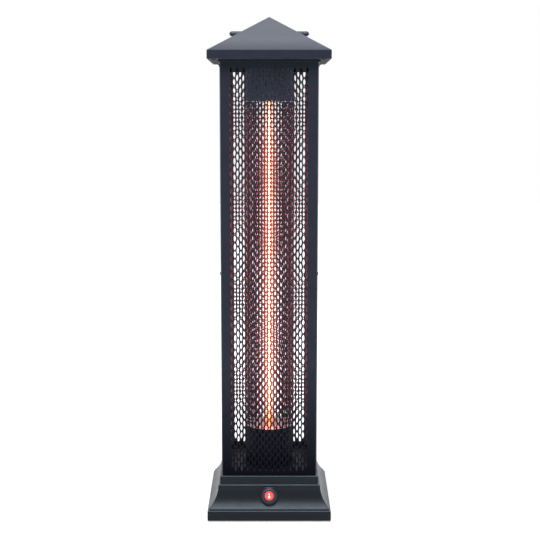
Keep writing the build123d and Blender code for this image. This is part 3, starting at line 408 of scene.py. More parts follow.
class Painter:
    """One procedural material in the making: its shader and its patterns on Object coordinates."""

    def __init__(self, name: str) -> None:
        """Starts a material with a plain shader."""
        self.material = bpy.data.materials.new(name)
        self.material.use_nodes = True
        self.tree = self.material.node_tree
        self.shader = self.tree.nodes["Principled BSDF"]
        self.place = self.tree.nodes.new("ShaderNodeTexCoord").outputs["Object"]

    def set(self, **values: object) -> None:
        """Sets the shader's own sockets; an underscore in a name stands for a space."""
        for key, value in values.items():
            self.shader.inputs[key.replace("_", " ")].default_value = value

    def feed(self, socket: str, source: Socket) -> None:
        """Joins a pattern to one of the shader's sockets."""
        self.tree.links.new(source, self.shader.inputs[socket])

    def moved(self, offset: Sequence[float], scale: Sequence[float]) -> Socket:
        """Object coordinates after a scale and an offset.

        Args:
            offset: Added to the scaled coordinates.
            scale: Factor of each coordinate.

        Returns:
            The moved coordinates.
        """
        node = self.tree.nodes.new("ShaderNodeMapping")
        node.inputs["Location"].default_value = offset
        node.inputs["Scale"].default_value = scale
        self.tree.links.new(self.place, node.inputs["Vector"])
        return node.outputs["Vector"]

    def noise(self, scale: float, detail: float = 2.0, place: Socket | None = None) -> Socket:
        """Soft noise.

        Args:
            scale: One over the size of its grain, in metres.
            detail: How many finer layers it has.
            place: Coordinates, or None for the plain Object coordinates.

        Returns:
            The pattern, mostly within its middle range.
        """
        node = self.tree.nodes.new("ShaderNodeTexNoise")
        node.inputs["Scale"].default_value = scale
        node.inputs["Detail"].default_value = detail
        self.tree.links.new(place or self.place, node.inputs["Vector"])
        return node.outputs["Fac"]

    def math(self, operation: str, *inputs: Socket | float) -> Socket:
        """Number worked out from other numbers.

        Args:
            operation: Name of the Math node's operation.
            inputs: Sockets or plain numbers.

        Returns:
            The result.
        """
        node = self.tree.nodes.new("ShaderNodeMath")
        node.operation = operation
        for socket, value in zip(node.inputs, inputs):
            if isinstance(value, Socket):
                self.tree.links.new(value, socket)
            else:
                socket.default_value = value
        return node.outputs["Value"]

    def axes(self) -> list[Socket]:
        """The three Object coordinates, each as a number."""
        node = self.tree.nodes.new("ShaderNodeSeparateXYZ")
        self.tree.links.new(self.place, node.inputs["Vector"])
        return list(node.outputs)

    def climb(self, value: Socket, start: float, length: float) -> Socket:
        """How far a number is past a start, as a share of a length.

        Args:
            value: The number.
            start: Where the share is 0.
            length: How much further it is 1.

        Returns:
            The share, kept between 0 and 1.
        """
        share = self.math("DIVIDE", self.math("SUBTRACT", value, start), length)
        return self.math("MINIMUM", self.math("MAXIMUM", share, 0.0), 1.0)

    def axis_distance(self, round_piece: bool) -> Socket:
        """Distance from the upright axis.

        Args:
            round_piece: True for the radius, False for the larger of x and y.

        Returns:
            The distance in metres.
        """
        x, y, _ = self.axes()
        if round_piece:
            squares = self.math("ADD", self.math("MULTIPLY", x, x), self.math("MULTIPLY", y, y))
            return self.math("SQRT", squares)
        return self.math("MAXIMUM", self.math("ABSOLUTE", x), self.math("ABSOLUTE", y))

    def mixed(self, factor: Socket, first: Socket, second: Socket) -> Socket:
        """Colour between two others.

        Args:
            factor: 0 for the first colour, 1 for the second.
            first: A colour.
            second: Another colour.

        Returns:
            The mixed colour.
        """
        node = self.tree.nodes.new("ShaderNodeMix")
        node.data_type = "RGBA"
        self.tree.links.new(factor, node.inputs["Factor"])
        self.tree.links.new(first, node.inputs[MIX_FIRST])
        self.tree.links.new(second, node.inputs[MIX_SECOND])
        return node.outputs[MIX_RESULT]

    def cells(self, scale: float) -> Socket:
        """Distance to the nearest of scattered points, for the pits of a grain."""
        node = self.tree.nodes.new("ShaderNodeTexVoronoi")
        node.inputs["Scale"].default_value = scale
        self.tree.links.new(self.place, node.inputs["Vector"])
        return node.outputs["Distance"]

    def between(self, pattern: Socket, low: float, high: float) -> Socket:
        """Number that follows a pattern's middle range.

        Args:
            pattern: The pattern.
            low: Number at the lower end of the range.
            high: Number at its upper end.

        Returns:
            The number.
        """
        node = self.tree.nodes.new("ShaderNodeMapRange")
        node.inputs["From Min"].default_value = PATTERN_LOW
        node.inputs["From Max"].default_value = PATTERN_HIGH
        node.inputs["To Min"].default_value = low
        node.inputs["To Max"].default_value = high
        self.tree.links.new(pattern, node.inputs["Value"])
        return node.outputs["Result"]

    def ramp(self, factor: Socket, stops: Sequence[tuple[float, Colour]]) -> Socket:
        """Colour along a row of stops.

        Args:
            factor: Position on the row.
            stops: Position and colour of each stop, in rising order.

        Returns:
            The colour.
        """
        node = self.tree.nodes.new("ShaderNodeValToRGB")
        elements = node.color_ramp.elements
        while len(elements) < len(stops):
            elements.new(1.0)
        for element, (position, colour) in zip(elements, stops):
            element.position = position
            element.color = (*colour, 1.0)
        self.tree.links.new(factor, node.inputs["Fac"])
        return node.outputs["Color"]

    def bump(self, height: Socket, strength: float, distance: float) -> None:
        """Relief from a pattern, over any relief that is there.

        Args:
            height: The pattern.
            strength: How much of the relief shows, from 0 to 1.
            distance: Its depth in metres.
        """
        node = self.tree.nodes.new("ShaderNodeBump")
        node.inputs["Strength"].default_value = strength
        node.inputs["Distance"].default_value = distance
        self.tree.links.new(height, node.inputs["Height"])
        last = self.shader.inputs["Normal"]
        if last.is_linked:
            self.tree.links.new(last.links[0].from_socket, node.inputs["Normal"])
        self.tree.links.new(node.outputs["Normal"], last)

    def mottled(self, colour: Colour, spread: float, scale: float) -> Socket:
        """A colour that drifts darker and lighter over the surface.

        Args:
            colour: Its mean.
            spread: Share of it that the drift adds and takes away.
            scale: One over the size of the drift, in metres.

        Returns:
            The colour.
        """
        dark = tuple(part * (1 - spread) for part in colour)
        light = tuple(part * (1 + spread) for part in colour)
        return self.ramp(self.noise(scale, 3.0), [(PATTERN_LOW, dark), (PATTERN_HIGH, light)])


@dataclass(frozen=True)
class PowderCoat:
    """Baked powder coat: fine orange peel over a dark colour, with a soft sheen."""

    name: str
    colour: Colour
    low_roughness: float = 0.34
    high_roughness: float = 0.44
    peel: float = 0.16
    specular: float = 0.15
    sheen: Colour = (0.76, 0.86, 1.0)
    drift: float = 0.10
    drift_scale: float = 45.0
    gloss_scale: float = 160.0
    peel_scale: float = 700.0
    peel_depth: float = 0.0003
    grain_scale: float = 2600.0
    grain_depth: float = 0.0001

    def paint(self) -> Painter:
        """Starts the material with the coat all over.

        Returns:
            The material in the making.
        """
        p = Painter(self.name)
        p.feed("Base Color", p.mottled(self.colour, self.drift, self.drift_scale))
        gloss = p.noise(self.gloss_scale)
        p.feed("Roughness", p.between(gloss, self.low_roughness, self.high_roughness))
        p.set(Specular_IOR_Level=self.specular, Specular_Tint=(*self.sheen, 1.0))
        p.bump(p.noise(self.peel_scale, 3.0), self.peel, self.peel_depth)
        p.bump(p.noise(self.grain_scale), self.peel / 2, self.grain_depth)
        return p

    def make(self) -> bpy.types.Material:
        """Builds the material."""
        return self.paint().material


@dataclass(frozen=True)
class LinedSheet(PowderCoat):
    """Sheet with the coat outside only: its inner face is plain steel, dulled by the heat.

    A point belongs to the inner face where its distance from the heater's axis is less than
    the reach. Round pieces measure it as a radius, square ones by the larger of x and y. The
    coat and its sheen are painted darker toward the foot: painted shade. The steel has a
    painted red glow where it is nearest to the lamp, which stands in for the lamp's light on
    it, in a band on each side of the planes x = 0 and y = 0, and the glow fades at the lamp's
    ends.
    """

    lining: Colour = (0.14, 0.13, 0.14)
    lining_drift: float = 0.15
    lining_scale: float = 60.0
    reach: float = 0.0884
    round_piece: bool = False
    # Painted shade: the coat and its sheen darken to this colour toward the foot.
    painted_shade_colour: Colour = (0.004, 0.004, 0.006)
    painted_shade_start: float = 0.075
    painted_shade_length: float = 0.22
    shine_drift: float = 0.05
    shine_scale: float = 9.0
    # Painted light: red emission where the sheet is nearest the lamp, standing in for the lamp's
    # light on it.
    glow: float = 0.55
    glow_colour: Colour = (1.0, 0.11, 0.05)
    glow_width: float = 0.024
    painted_glow_low: float = 0.165
    painted_glow_high: float = 0.775
    painted_glow_fade: float = 0.10

    def make(self) -> bpy.types.Material:
        """Builds the material.

        Returns:
            The finished material.
        """
        p = self.paint()
        inside = p.math("LESS_THAN", p.axis_distance(self.round_piece), self.reach)
        # Painted shade: 0 low down, where the coat and sheen take the dark colour, 1 higher up.
        unshaded = p.climb(p.axes()[2], self.painted_shade_start, self.painted_shade_length)
        coat, shine = (
            p.mixed(unshaded, p.mottled(self.painted_shade_colour, drift, scale), p.mottled(colour, drift, scale))
            for colour, drift, scale in (
                (self.colour, self.drift, self.drift_scale),
                (self.sheen, self.shine_drift, self.shine_scale),
            )
        )
        bare = p.mottled(self.lining, self.lining_drift, self.lining_scale)
        p.feed("Specular Tint", shine)
        p.feed("Base Color", p.mixed(inside, coat, bare))
        # Painted glow: red emission that stands in for the lamp's light on the sheet.
        p.set(Emission_Color=(*self.glow_colour, 1.0))
        p.feed("Emission Strength", p.math("MULTIPLY", self.level(p), self.painted_glow_across(p)))
        return p.material

    def painted_glow_across(self, p: Painter) -> Socket:
        """Painted glow across the sheet: the square of what is left of the glow's width.

        Args:
            p: The material in the making.

        Returns:
            The glow's strength beside the lamp.
        """
        x, y, _ = p.axes()
        away = p.math("MINIMUM", p.math("ABSOLUTE", x), p.math("ABSOLUTE", y))
        left = p.math("SUBTRACT", 1.0, p.climb(away, 0.0, self.glow_width))
        return p.math("MULTIPLY", p.math("MULTIPLY", left, left), self.glow)

    def level(self, p: Painter) -> Socket:
        """Painted glow up the sheet: 1 beside the lamp, and fading to 0 at its ends.

        Args:
            p: The material in the making.

        Returns:
            Factor of the glow.
        """
        height = p.axes()[2]
        above = p.climb(height, self.painted_glow_low, self.painted_glow_fade)
        below = p.climb(p.math("SUBTRACT", self.painted_glow_high, height), 0.0, self.painted_glow_fade)
        return p.math("MINIMUM", above, below)


@dataclass(frozen=True)
class MouldedPlastic:
    """Injection moulding with a spark-eroded grain, painted lighter where it faces up as a painted
    highlight.
    """

    name: str
    colour: Colour
    low_roughness: float = 0.40
    high_roughness: float = 0.52
    grain: float = 0.20
    grain_scale: float = 1500.0
    specular: float = 0.5
    sheen: Colour = (0.80, 0.90, 1.0)
    # Painted highlight: the lighter colour of faces that turn up.
    painted_top_light: Colour | None = None
    painted_top_light_start: float = 0.62
    painted_top_light_end: float = 0.98
    painted_top_light_drift: float = 0.2
    painted_top_light_scale: float = 60.0
    drift: float = 0.12
    drift_scale: float = 30.0
    gloss_scale: float = 90.0
    grain_depth: float = 0.00015
    wave: float = 0.04
    wave_scale: float = 14.0
    wave_depth: float = 0.0008

    def make(self) -> bpy.types.Material:
        """Builds the material.

        Returns:
            The finished material.
        """
        p = Painter(self.name)
        colour = p.mottled(self.colour, self.drift, self.drift_scale)
        # Painted highlight: faces that turn up take the lighter colour.
        if self.painted_top_light:
            painted_top_light = p.mottled(self.painted_top_light, self.painted_top_light_drift, self.painted_top_light_scale)
            colour = p.mixed(self.upward(p), colour, painted_top_light)
        p.feed("Base Color", colour)
        gloss = p.noise(self.gloss_scale, 4.0)
        p.feed("Roughness", p.between(gloss, self.low_roughness, self.high_roughness))
        p.set(Specular_IOR_Level=self.specular, Specular_Tint=(*self.sheen, 1.0))
        p.bump(p.cells(self.grain_scale), self.grain, self.grain_depth)
        p.bump(p.noise(self.wave_scale), self.wave, self.wave_depth)
        return p.material

    def upward(self, p: Painter) -> Socket:
        """How far a face turns upward.

        Args:
            p: The material in the making.

        Returns:
            A number from 0 to 1, which is 1 where the face lies flat.
        """
        surface = p.tree.nodes.new("ShaderNodeNewGeometry")
        parts = p.tree.nodes.new("ShaderNodeSeparateXYZ")
        p.tree.links.new(surface.outputs["Normal"], parts.inputs["Vector"])
        return p.climb(parts.outputs["Z"], self.painted_top_light_start, self.painted_top_light_end - self.painted_top_light_start)


@dataclass(frozen=True)
class Rubber:
    """Matt rubber with a dusty bloom."""

    name: str
    colour: Colour
    low_roughness: float = 0.72
    high_roughness: float = 0.92
    bloom: float = 0.3
    bloom_scale: float = 220.0
    gloss_scale: float = 400.0
    grain: float = 0.3
    grain_scale: float = 1800.0
    grain_depth: float = 0.0002

    def make(self) -> bpy.types.Material:
        """Builds the material.

        Returns:
            The finished material.
        """
        p = Painter(self.name)
        p.feed("Base Color", p.mottled(self.colour, self.bloom, self.bloom_scale))
        gloss = p.noise(self.gloss_scale, 4.0)
        p.feed("Roughness", p.between(gloss, self.low_roughness, self.high_roughness))
        p.bump(p.noise(self.grain_scale, 3.0), self.grain, self.grain_depth)
        return p.material


@dataclass(frozen=True)
class PlatedSteel:
    """Rolled and plated steel: fine marks along one direction, and a cloudy sheen."""

    name: str
    colour: Colour
    low_roughness: float = 0.24
    high_roughness: float = 0.42
    cloud: float = 0.12
    cloud_scale: float = 120.0
    mark: float = 0.12
    mark_scale: float = 900.0
    mark_depth: float = 0.0001
    mark_stretch: Point = (1.0, 1.0, 0.06)

    def make(self) -> bpy.types.Material:
        """Builds the material.

        Returns:
            The finished material.
        """
        p = Painter(self.name)
        p.feed("Base Color", p.mottled(self.colour, self.cloud, self.cloud_scale))
        marks = p.noise(self.mark_scale, 3.0, p.moved((0, 0, 0), self.mark_stretch))
        p.feed("Roughness", p.between(marks, self.low_roughness, self.high_roughness))
        p.set(Metallic=1.0)
        p.bump(marks, self.mark, self.mark_depth)
        return p.material


@dataclass(frozen=True)
class SpunReflector:
    """Bright spun aluminium with rings round the lamp's axis."""

    name: str
    colour: Colour
    low_roughness: float = 0.30
    high_roughness: float = 0.40
    drift: float = 0.05
    drift_scale: float = 60.0
    gloss_scale: float = 250.0
    ring: float = 0.10
    ring_scale: float = 500.0
    ring_waver: float = 1.5
    ring_depth: float = 0.00008

    def make(self) -> bpy.types.Material:
        """Builds the material.

        Returns:
            The finished material.
        """
        p = Painter(self.name)
        rings = p.tree.nodes.new("ShaderNodeTexWave")
        rings.wave_type = "RINGS"
        rings.rings_direction = "Z"
        rings.inputs["Scale"].default_value = self.ring_scale
        rings.inputs["Distortion"].default_value = self.ring_waver
        p.tree.links.new(p.place, rings.inputs["Vector"])
        p.feed("Base Color", p.mottled(self.colour, self.drift, self.drift_scale))
        gloss = p.noise(self.gloss_scale)
        p.feed("Roughness", p.between(gloss, self.low_roughness, self.high_roughness))
        p.set(Metallic=1.0)
        p.bump(rings.outputs["Fac"], self.ring, self.ring_depth)
        return p.material


@dataclass(frozen=True)
class QuartzGlass:
    """Clear quartz, seen more at its edges than at its middle, with a painted glow that stands in
    for the filament's light in the tube.
    """

    name: str
    colour: Colour
    glow: Colour
    strength: float = 0.8
    edge_blend: float = 0.35
    middle_cover: float = 0.06
    edge_cover: float = 0.40
    low_roughness: float = 0.05
    high_roughness: float = 0.12
    drift: float = 0.04
    drift_scale: float = 80.0
    gloss_scale: float = 300.0
    glow_drift: float = 0.15
    glow_scale: float = 20.0

    def make(self) -> bpy.types.Material:
        """Builds the material.

        Returns:
            The finished material.
        """
        p = Painter(self.name)
        facing = p.tree.nodes.new("ShaderNodeLayerWeight")
        facing.inputs["Blend"].default_value = self.edge_blend
        cover = p.tree.nodes.new("ShaderNodeMapRange")
        cover.inputs["To Min"].default_value = self.middle_cover
        cover.inputs["To Max"].default_value = self.edge_cover
        p.tree.links.new(facing.outputs["Facing"], cover.inputs["Value"])
        p.feed("Alpha", cover.outputs["Result"])
        p.feed("Base Color", p.mottled(self.colour, self.drift, self.drift_scale))
        gloss = p.noise(self.gloss_scale)
        p.feed("Roughness", p.between(gloss, self.low_roughness, self.high_roughness))
        # Painted glow: the quartz's own emission stands in for the filament's light seen in the
        # tube.
        p.feed("Emission Color", p.mottled(self.glow, self.glow_drift, self.glow_scale))
        p.set(Emission_Strength=self.strength)
        return p.material


@dataclass(frozen=True)
class HotCoil:
    """Glowing filament: hottest along its middle, orange and then dull towards its ends."""

    name: str
    bottom: float
    low_cool: float
    low_hot: float
    high_hot: float
    high_cool: float
    top: float
    strength: float
    wire: Colour = (0.25, 0.12, 0.08)
    dull: Colour = (0.02, 0.002, 0.0005)
    orange: Colour = (0.30, 0.09, 0.015)
    hot: Colour = (1.0, 0.55, 0.34)
    low_roughness: float = 0.4
    high_roughness: float = 0.6
    gloss_scale: float = 900.0

    def make(self) -> bpy.types.Material:
        """Builds the material.

        Returns:
            The finished material.
        """
        p = Painter(self.name)
        length = self.top - self.bottom
        heights = (self.bottom, self.low_cool, self.low_hot)
        heights += (self.high_hot, self.high_cool, self.top)
        colours = (self.dull, self.orange, self.hot, self.hot, self.orange, self.dull)
        stops = [((z - self.bottom) / length, colour) for z, colour in zip(heights, colours)]
        p.feed("Emission Color", p.ramp(p.climb(p.axes()[2], self.bottom, length), stops))
        gloss = p.noise(self.gloss_scale)
        p.feed("Roughness", p.between(gloss, self.low_roughness, self.high_roughness))
        p.set(Base_Color=(*self.wire, 1.0), Emission_Strength=self.strength)
        return p.material


@dataclass(frozen=True)
class GlazedCeramic:
    """Steatite lamp cap: fine speckle, dull glaze."""

    name: str
    colour: Colour
    low_roughness: float = 0.45
    high_roughness: float = 0.65
    speckle: float = 0.08
    speckle_scale: float = 500.0
    gloss_scale: float = 300.0
    grain: float = 0.15
    grain_scale: float = 1500.0
    grain_depth: float = 0.0001

    def make(self) -> bpy.types.Material:
        """Builds the material.

        Returns:
            The finished material.
        """
        p = Painter(self.name)
        p.feed("Base Color", p.mottled(self.colour, self.speckle, self.speckle_scale))
        gloss = p.noise(self.gloss_scale, 4.0)
        p.feed("Roughness", p.between(gloss, self.low_roughness, self.high_roughness))
        p.bump(p.noise(self.grain_scale, 4.0), self.grain, self.grain_depth)
        return p.material


@dataclass(frozen=True)
class LitLens:
    """Translucent cap lit from behind: bright at its centre, deeper red at its rim."""

    name: str
    centre: Point
    reach: float
    inner: Colour
    outer: Colour
    strength: float
    inner_share: float = 0.75
    low_roughness: float = 0.12
    high_roughness: float = 0.22
    drift: float = 0.06
    drift_scale: float = 300.0
    gloss_scale: float = 500.0

    def make(self) -> bpy.types.Material:
        """Builds the material.

        Returns:
            The finished material.
        """
        p = Painter(self.name)
        share = 1.0 / self.reach
        offset = tuple(-part * share for part in self.centre)
        ball = p.tree.nodes.new("ShaderNodeTexGradient")
        ball.gradient_type = "SPHERICAL"
        p.tree.links.new(p.moved(offset, (share, share, share)), ball.inputs["Vector"])
        stops = [(0.0, self.outer), (self.inner_share, self.inner)]
        p.feed("Emission Color", p.ramp(ball.outputs["Fac"], stops))
        p.feed("Base Color", p.mottled(self.outer, self.drift, self.drift_scale))
        gloss = p.noise(self.gloss_scale)
        p.feed("Roughness", p.between(gloss, self.low_roughness, self.high_roughness))
        p.set(Emission_Strength=self.strength)
        return p.material


# Places that the pieces share, read from the frame


@dataclass(frozen=True)
class Places:
    """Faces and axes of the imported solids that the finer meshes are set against."""

    def span(self, node: str, axis: int) -> tuple[float, float]:
        """Lowest and highest coordinate of a solid along one axis."""
        low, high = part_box(node)
        return low[axis], high[axis]

    def button_matrix(self) -> Matrix:
        """Matrix of the button's seat, which is half a gasket behind the gasket's middle.

        Returns:
            Matrix whose Z axis points out of the cove and whose Y axis points up.
        """
        joint = next(j for j in frame["joints"] if j["name"] == "button_press")
        out = -Vector(joint["axis"]).normalized()
        across = Vector((1, 0, 0))
        low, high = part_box("button_gasket")
        origin = (low + high) / 2 - out * GASKET / 2
        turn = Matrix((across, out.cross(across), out)).transposed().to_4x4()
        return Matrix.Translation(origin) @ turn


PLACES = Places()


# Column


@dataclass(frozen=True)
class HoleField:
    """Staggered long holes with pointed ends, on a sheet laid flat: s runs across, z up.

    Neighbouring columns are half a pitch apart in height. Each hole sits in a cell one pitch
    wide and one pitch high, and solid half cells fill the ends of the columns.
    """

    columns: int
    rows: int
    pitch_s: float
    pitch_z: float
    bottom: float
    open_ends: bool = False
    width: float = 0.0041
    height: float = 0.0147
    point: float = 0.0050
    bulge: float = 1.25

    @property
    def top(self) -> float:
        """Upper edge of the field."""
        return self.bottom + (self.rows + 0.5) * self.pitch_z

    def levels(self) -> np.ndarray:
        """Heights at which cells begin or have their middle."""
        return self.bottom + np.arange(2 * self.rows + 2) * self.pitch_z / 2

    def stations(self) -> np.ndarray:
        """Places across the field at the cells' edges and middles."""
        steps = np.arange(2 * self.columns + 1) - 1
        return steps * self.pitch_s / 2 - self.columns // 2 * self.pitch_s

    def centres(self) -> tuple[np.ndarray, np.ndarray]:
        """Middle of each column, and 1 where the column starts half a pitch higher."""
        column = np.arange(self.columns)
        return (column - self.columns // 2) * self.pitch_s, (column + 1) % 2

    def cells(self) -> Cells:
        """All cells with their holes.

        Returns:
            Points (s, z) and the faces between them.
        """
        s, z = self.pitch_s / 2, self.pitch_z / 2
        w, h = self.width / 2, self.height / 2
        low, mid = h - self.point, h - self.point / 2
        q = w / 2 * self.bulge
        rim = [(0, -z), (s, -z), (s, 0), (s, z), (0, z), (-s, z), (-s, 0), (-s, -z)]
        hole = [(0, -h), (q, -mid), (w, -low), (w, low), (q, mid), (0, h)]
        hole += [(-q, mid), (-w, low), (-w, -low), (-q, -mid)]
        quads = [(0, 1, 9, 8), (1, 2, 10, 9), (2, 3, 12, 11), (3, 4, 13, 12)]
        quads += [(4, 5, 14, 13), (5, 6, 15, 14), (6, 7, 17, 16), (7, 0, 8, 17)]
        return self.repeated(np.array(rim + hole), [quads, [(2, 11, 10), (6, 16, 15)]])

    def half_cells(self, at_top: bool) -> Cells:
        """Half cells at one end of the columns that need them, solid or cut through their hole.

        Args:
            at_top: True for the upper end.

        Returns:
            Points (s, z) and the faces between them.
        """
        s, z = self.pitch_s / 2, self.pitch_z / 2
        middle, lifted = self.centres()
        chosen = middle[lifted == (0 if at_top else 1)]
        if self.open_ends:
            block, faces = self.half_hole()
            end = self.top if at_top else self.bottom
            block = block if at_top else block * (-1, -1)
            return spread_cells(block, faces, np.stack([chosen, np.full(len(chosen), end)], -1))
        block = np.array([(-s, 0), (0, 0), (s, 0), (-s, z), (0, z), (s, z)])
        start = self.top - z if at_top else self.bottom
        places = np.stack([chosen, np.full(len(chosen), start)], -1)
        return spread_cells(block, [[(0, 1, 4, 3), (1, 2, 5, 4)]], places)

    def half_hole(self) -> tuple[np.ndarray, list]:
        """Lower half of a cell, whose hole is open where the sheet ends at z = 0.

        Returns:
            Points (s, z) and the lists of faces between them.
        """
        s, z = self.pitch_s / 2, self.pitch_z / 2
        w, h = self.width / 2, self.height / 2
        low, mid = h - self.point, h - self.point / 2
        q = w / 2 * self.bulge
        rim = [(0, -z), (s, -z), (s, 0), (-s, 0), (-s, -z)]
        hole = [(0, -h), (q, -mid), (w, -low), (w, 0), (-w, 0), (-w, -low), (-q, -mid)]
        quads = [(0, 1, 6, 5), (1, 2, 8, 7), (3, 4, 10, 9), (4, 0, 5, 11)]
        return np.array(rim + hole), [quads, [(1, 7, 6), (4, 11, 10)]]

    def repeated(self, block: np.ndarray, faces: list) -> Cells:
        """One cell's points and faces at every place of the field.

        Args:
            block: Points (s, z) of the cell.
            faces: Lists of its faces.

        Returns:
            Points (s, z) and the faces between them.
        """
        middle, lifted = self.centres()
        start = self.bottom + (1 + lifted) * self.pitch_z / 2
        heights = start[:, None] + np.arange(self.rows) * self.pitch_z
        places = np.stack(np.broadcast_arrays(middle[:, None], heights), -1).reshape(-1, 2)
        return spread_cells(block, faces, places)


def spread_cells(block: np.ndarray, faces: list, places: np.ndarray) -> Cells:
    """Copies one cell to many places.

    Args:
        block: Points (s, z) of the cell.
        faces: Lists of its faces, each list with as many corners a face.
        places: Point (s, z) of each copy.

    Returns:
        Points (s, z) and the faces between them.
    """
    shift = (np.arange(len(places)) * len(block))[:, None, None]
    made = [(np.array(group)[None] + shift).reshape(-1, len(group[0])) for group in faces]
    return (places[:, None] + block[None]).reshape(-1, 2), made


def patch(across: np.ndarray, up: np.ndarray) -> Cells:
    """Plain stretch of sheet between two rows of coordinates."""
    s, z = np.meshgrid(across, up)
    return np.stack([s, z], -1).reshape(-1, 2), [grid_quads(len(up), len(across), False, False)]


def perforated(
    field: HoleField,
    low: float,
    high: float,
    margins: Sequence[np.ndarray],
    place: Placer,
    sheet: float,
) -> Shell:
    """Closed perforated sheet, bent as the placer says.

    The sheet is laid out flat, its stretches are joined at their shared points, and every
    point goes twice through the placer, for the outer and for the inner face.

    Args:
        field: The holes.
        low: Lower edge of the sheet.
        high: Upper edge of the sheet.
        margins: Plain stretches beside the field, as rows of coordinates across.
        place: Function of s, z and depth that gives points in the frame.
        sheet: Thickness.

    Returns:
        The closed sheet.
    """
    levels = field.levels()
    parts = [field.cells(), field.half_cells(False), field.half_cells(True)]
    if not field.open_ends:
        levels = np.concatenate([[low], levels, [high]])
        parts += [patch(field.stations(), np.array([low, field.bottom]))]
        parts += [patch(field.stations(), np.array([field.top, high]))]
    parts += [patch(margin, levels) for margin in margins]
    laid = [Shell(np.pad(points, ((0, 0), (0, 1))), faces) for points, faces in parts]
    whole = laid[0].joined(*laid[1:])
    s, z = whole.points[:, 0], whole.points[:, 1]
    outer, inner = place(s, z, 0.0), place(s, z, sheet)
    keys = np.round(outer / WELD).astype(np.int64)
    _, first, number = np.unique(keys, axis=0, return_index=True, return_inverse=True)
    number = number.reshape(-1)
    face = Shell(outer[first], [number[corners] for corners in whole.faces])
    return face.thickened(inner[first])


@dataclass
class Column:
    """Four perforated panels of sheet steel and the screws down their edges."""

    paint: bpy.types.Material
    side_paint: bpy.types.Material
    screw_paint: bpy.types.Material
    sheet: float = 0.0012
    bend: float = 0.0035
    bend_steps: int = 8
    flange: float = 0.014
    side_gap: float = 0.0005
    hole_columns: int = 25
    hole_rows: int = 48
    pitch_s: float = 0.00571
    pitch_z: float = 0.015488
    foot_margin: float = 0.0084
    screw_inset: float = 0.009
    screw_edge: float = 0.0055
    screw_radius: float = 0.003
    screw_height: float = 0.0016
    screw_shank: float = 0.0015
    screw_grip: float = 0.0051
    first_spin: float = 17.0
    spin_step: float = 31.0

    def __post_init__(self) -> None:
        """Reads the column's faces from the frame."""
        self.low, self.high = PLACES.span("front_panel", 2)
        self.half = PLACES.span("front_panel", 0)[1]

    def field(self) -> HoleField:
        """The holes of one panel."""
        bottom = self.low + self.foot_margin
        return HoleField(self.hole_columns, self.hole_rows, self.pitch_s, self.pitch_z, bottom)

    def folded(self, s: np.ndarray, z: np.ndarray, depth: float) -> np.ndarray:
        """Front panel: flat up to the bend, a quarter turn, and straight on along the side.

        Args:
            s: Way across the laid-out sheet.
            z: Height.
            depth: Distance behind the outer face.

        Returns:
            Points in the frame.
        """
        reach = np.abs(s)
        flat = self.half - self.bend
        turn = np.clip((reach - flat) / self.bend, 0, math.pi / 2)
        beyond = np.maximum(reach - flat - self.bend * math.pi / 2, 0)
        x = np.minimum(reach, flat) + (self.bend - depth) * np.sin(turn)
        y = self.bend - self.half - (self.bend - depth) * np.cos(turn) + beyond
        return np.stack([x * np.sign(s), y, z], -1)

    def flat(self, s: np.ndarray, z: np.ndarray, depth: float) -> np.ndarray:
        """Side panel before it is turned: flat, one sheet behind the flanges.

        Args:
            s: Way across the sheet.
            z: Height.
            depth: Distance behind the outer face.

        Returns:
            Points in the frame.
        """
        y = np.full_like(s, self.sheet + depth - self.half)
        return np.stack([s, y, z], -1)

    def margins(self, bends: bool) -> list[np.ndarray]:
        """Plain stretches left and right of the holes.

        Args:
            bends: True for a panel with its bends and flanges.

        Returns:
            Places across the sheet, a row for each stretch.
        """
        edge = self.field().stations()[-1]
        flat = self.half - self.bend
        if bends:
            arc = np.linspace(0, self.bend * math.pi / 2, self.bend_steps + 1)
            end = arc[-1] + self.flange - self.bend
            right = np.concatenate([[edge], flat + arc, [flat + end]])
        else:
            right = np.array([edge, flat - self.side_gap])
        return [right, -right[::-1]]

    def panels(self) -> None:
        """Front and back with flanges, and both sides between them."""
        field = self.field()
        front = perforated(field, self.low, self.high, self.margins(True), self.folded, self.sheet)
        side = perforated(field, self.low, self.high, self.margins(False), self.flat, self.sheet)
        layout = {
            "front": (front, 0, self.paint), "back": (front, 180, self.paint),
            "right": (side, 90, self.side_paint), "left": (side, -90, self.side_paint),
        }
        for name, (shell, turn, paint) in layout.items():
            placed = shell.placed(Matrix.Rotation(math.radians(turn), 4, "Z"))
            add_piece(name + "_mesh", placed, paint, [name + "_panel"])

    def screws(self) -> None:
        """Cross-recessed screws through the flanges on both sides, each turned further."""
        sizes = self.screw_radius, self.screw_height, self.screw_shank, self.screw_grip
        screw = CrossScrew(*sizes).shell()
        middle = (self.low + self.high) / 2
        heights = (self.low + self.screw_edge, middle, self.high - self.screw_edge)
        place = self.half - self.screw_inset
        spots = [(y, z) for y in (-place, place) for z in heights]
        made = []
        for side in (-1, 1):
            turn = Matrix.Rotation(side * math.pi / 2, 4, "Y")
            for number, (y, z) in enumerate(spots):
                angle = math.radians(self.first_spin + self.spin_step * number)
                seat = Matrix.Translation((side * self.half, y, z))
                made.append(screw.placed(seat @ turn @ Matrix.Rotation(angle, 4, "Z")))
        heads = made[0].joined(*made[1:])
        add_piece("edge_screws", heads, self.screw_paint, ["panel_screws"])

    def build(self) -> None:
        """Makes every piece of the column."""
        self.panels()
        self.screws()


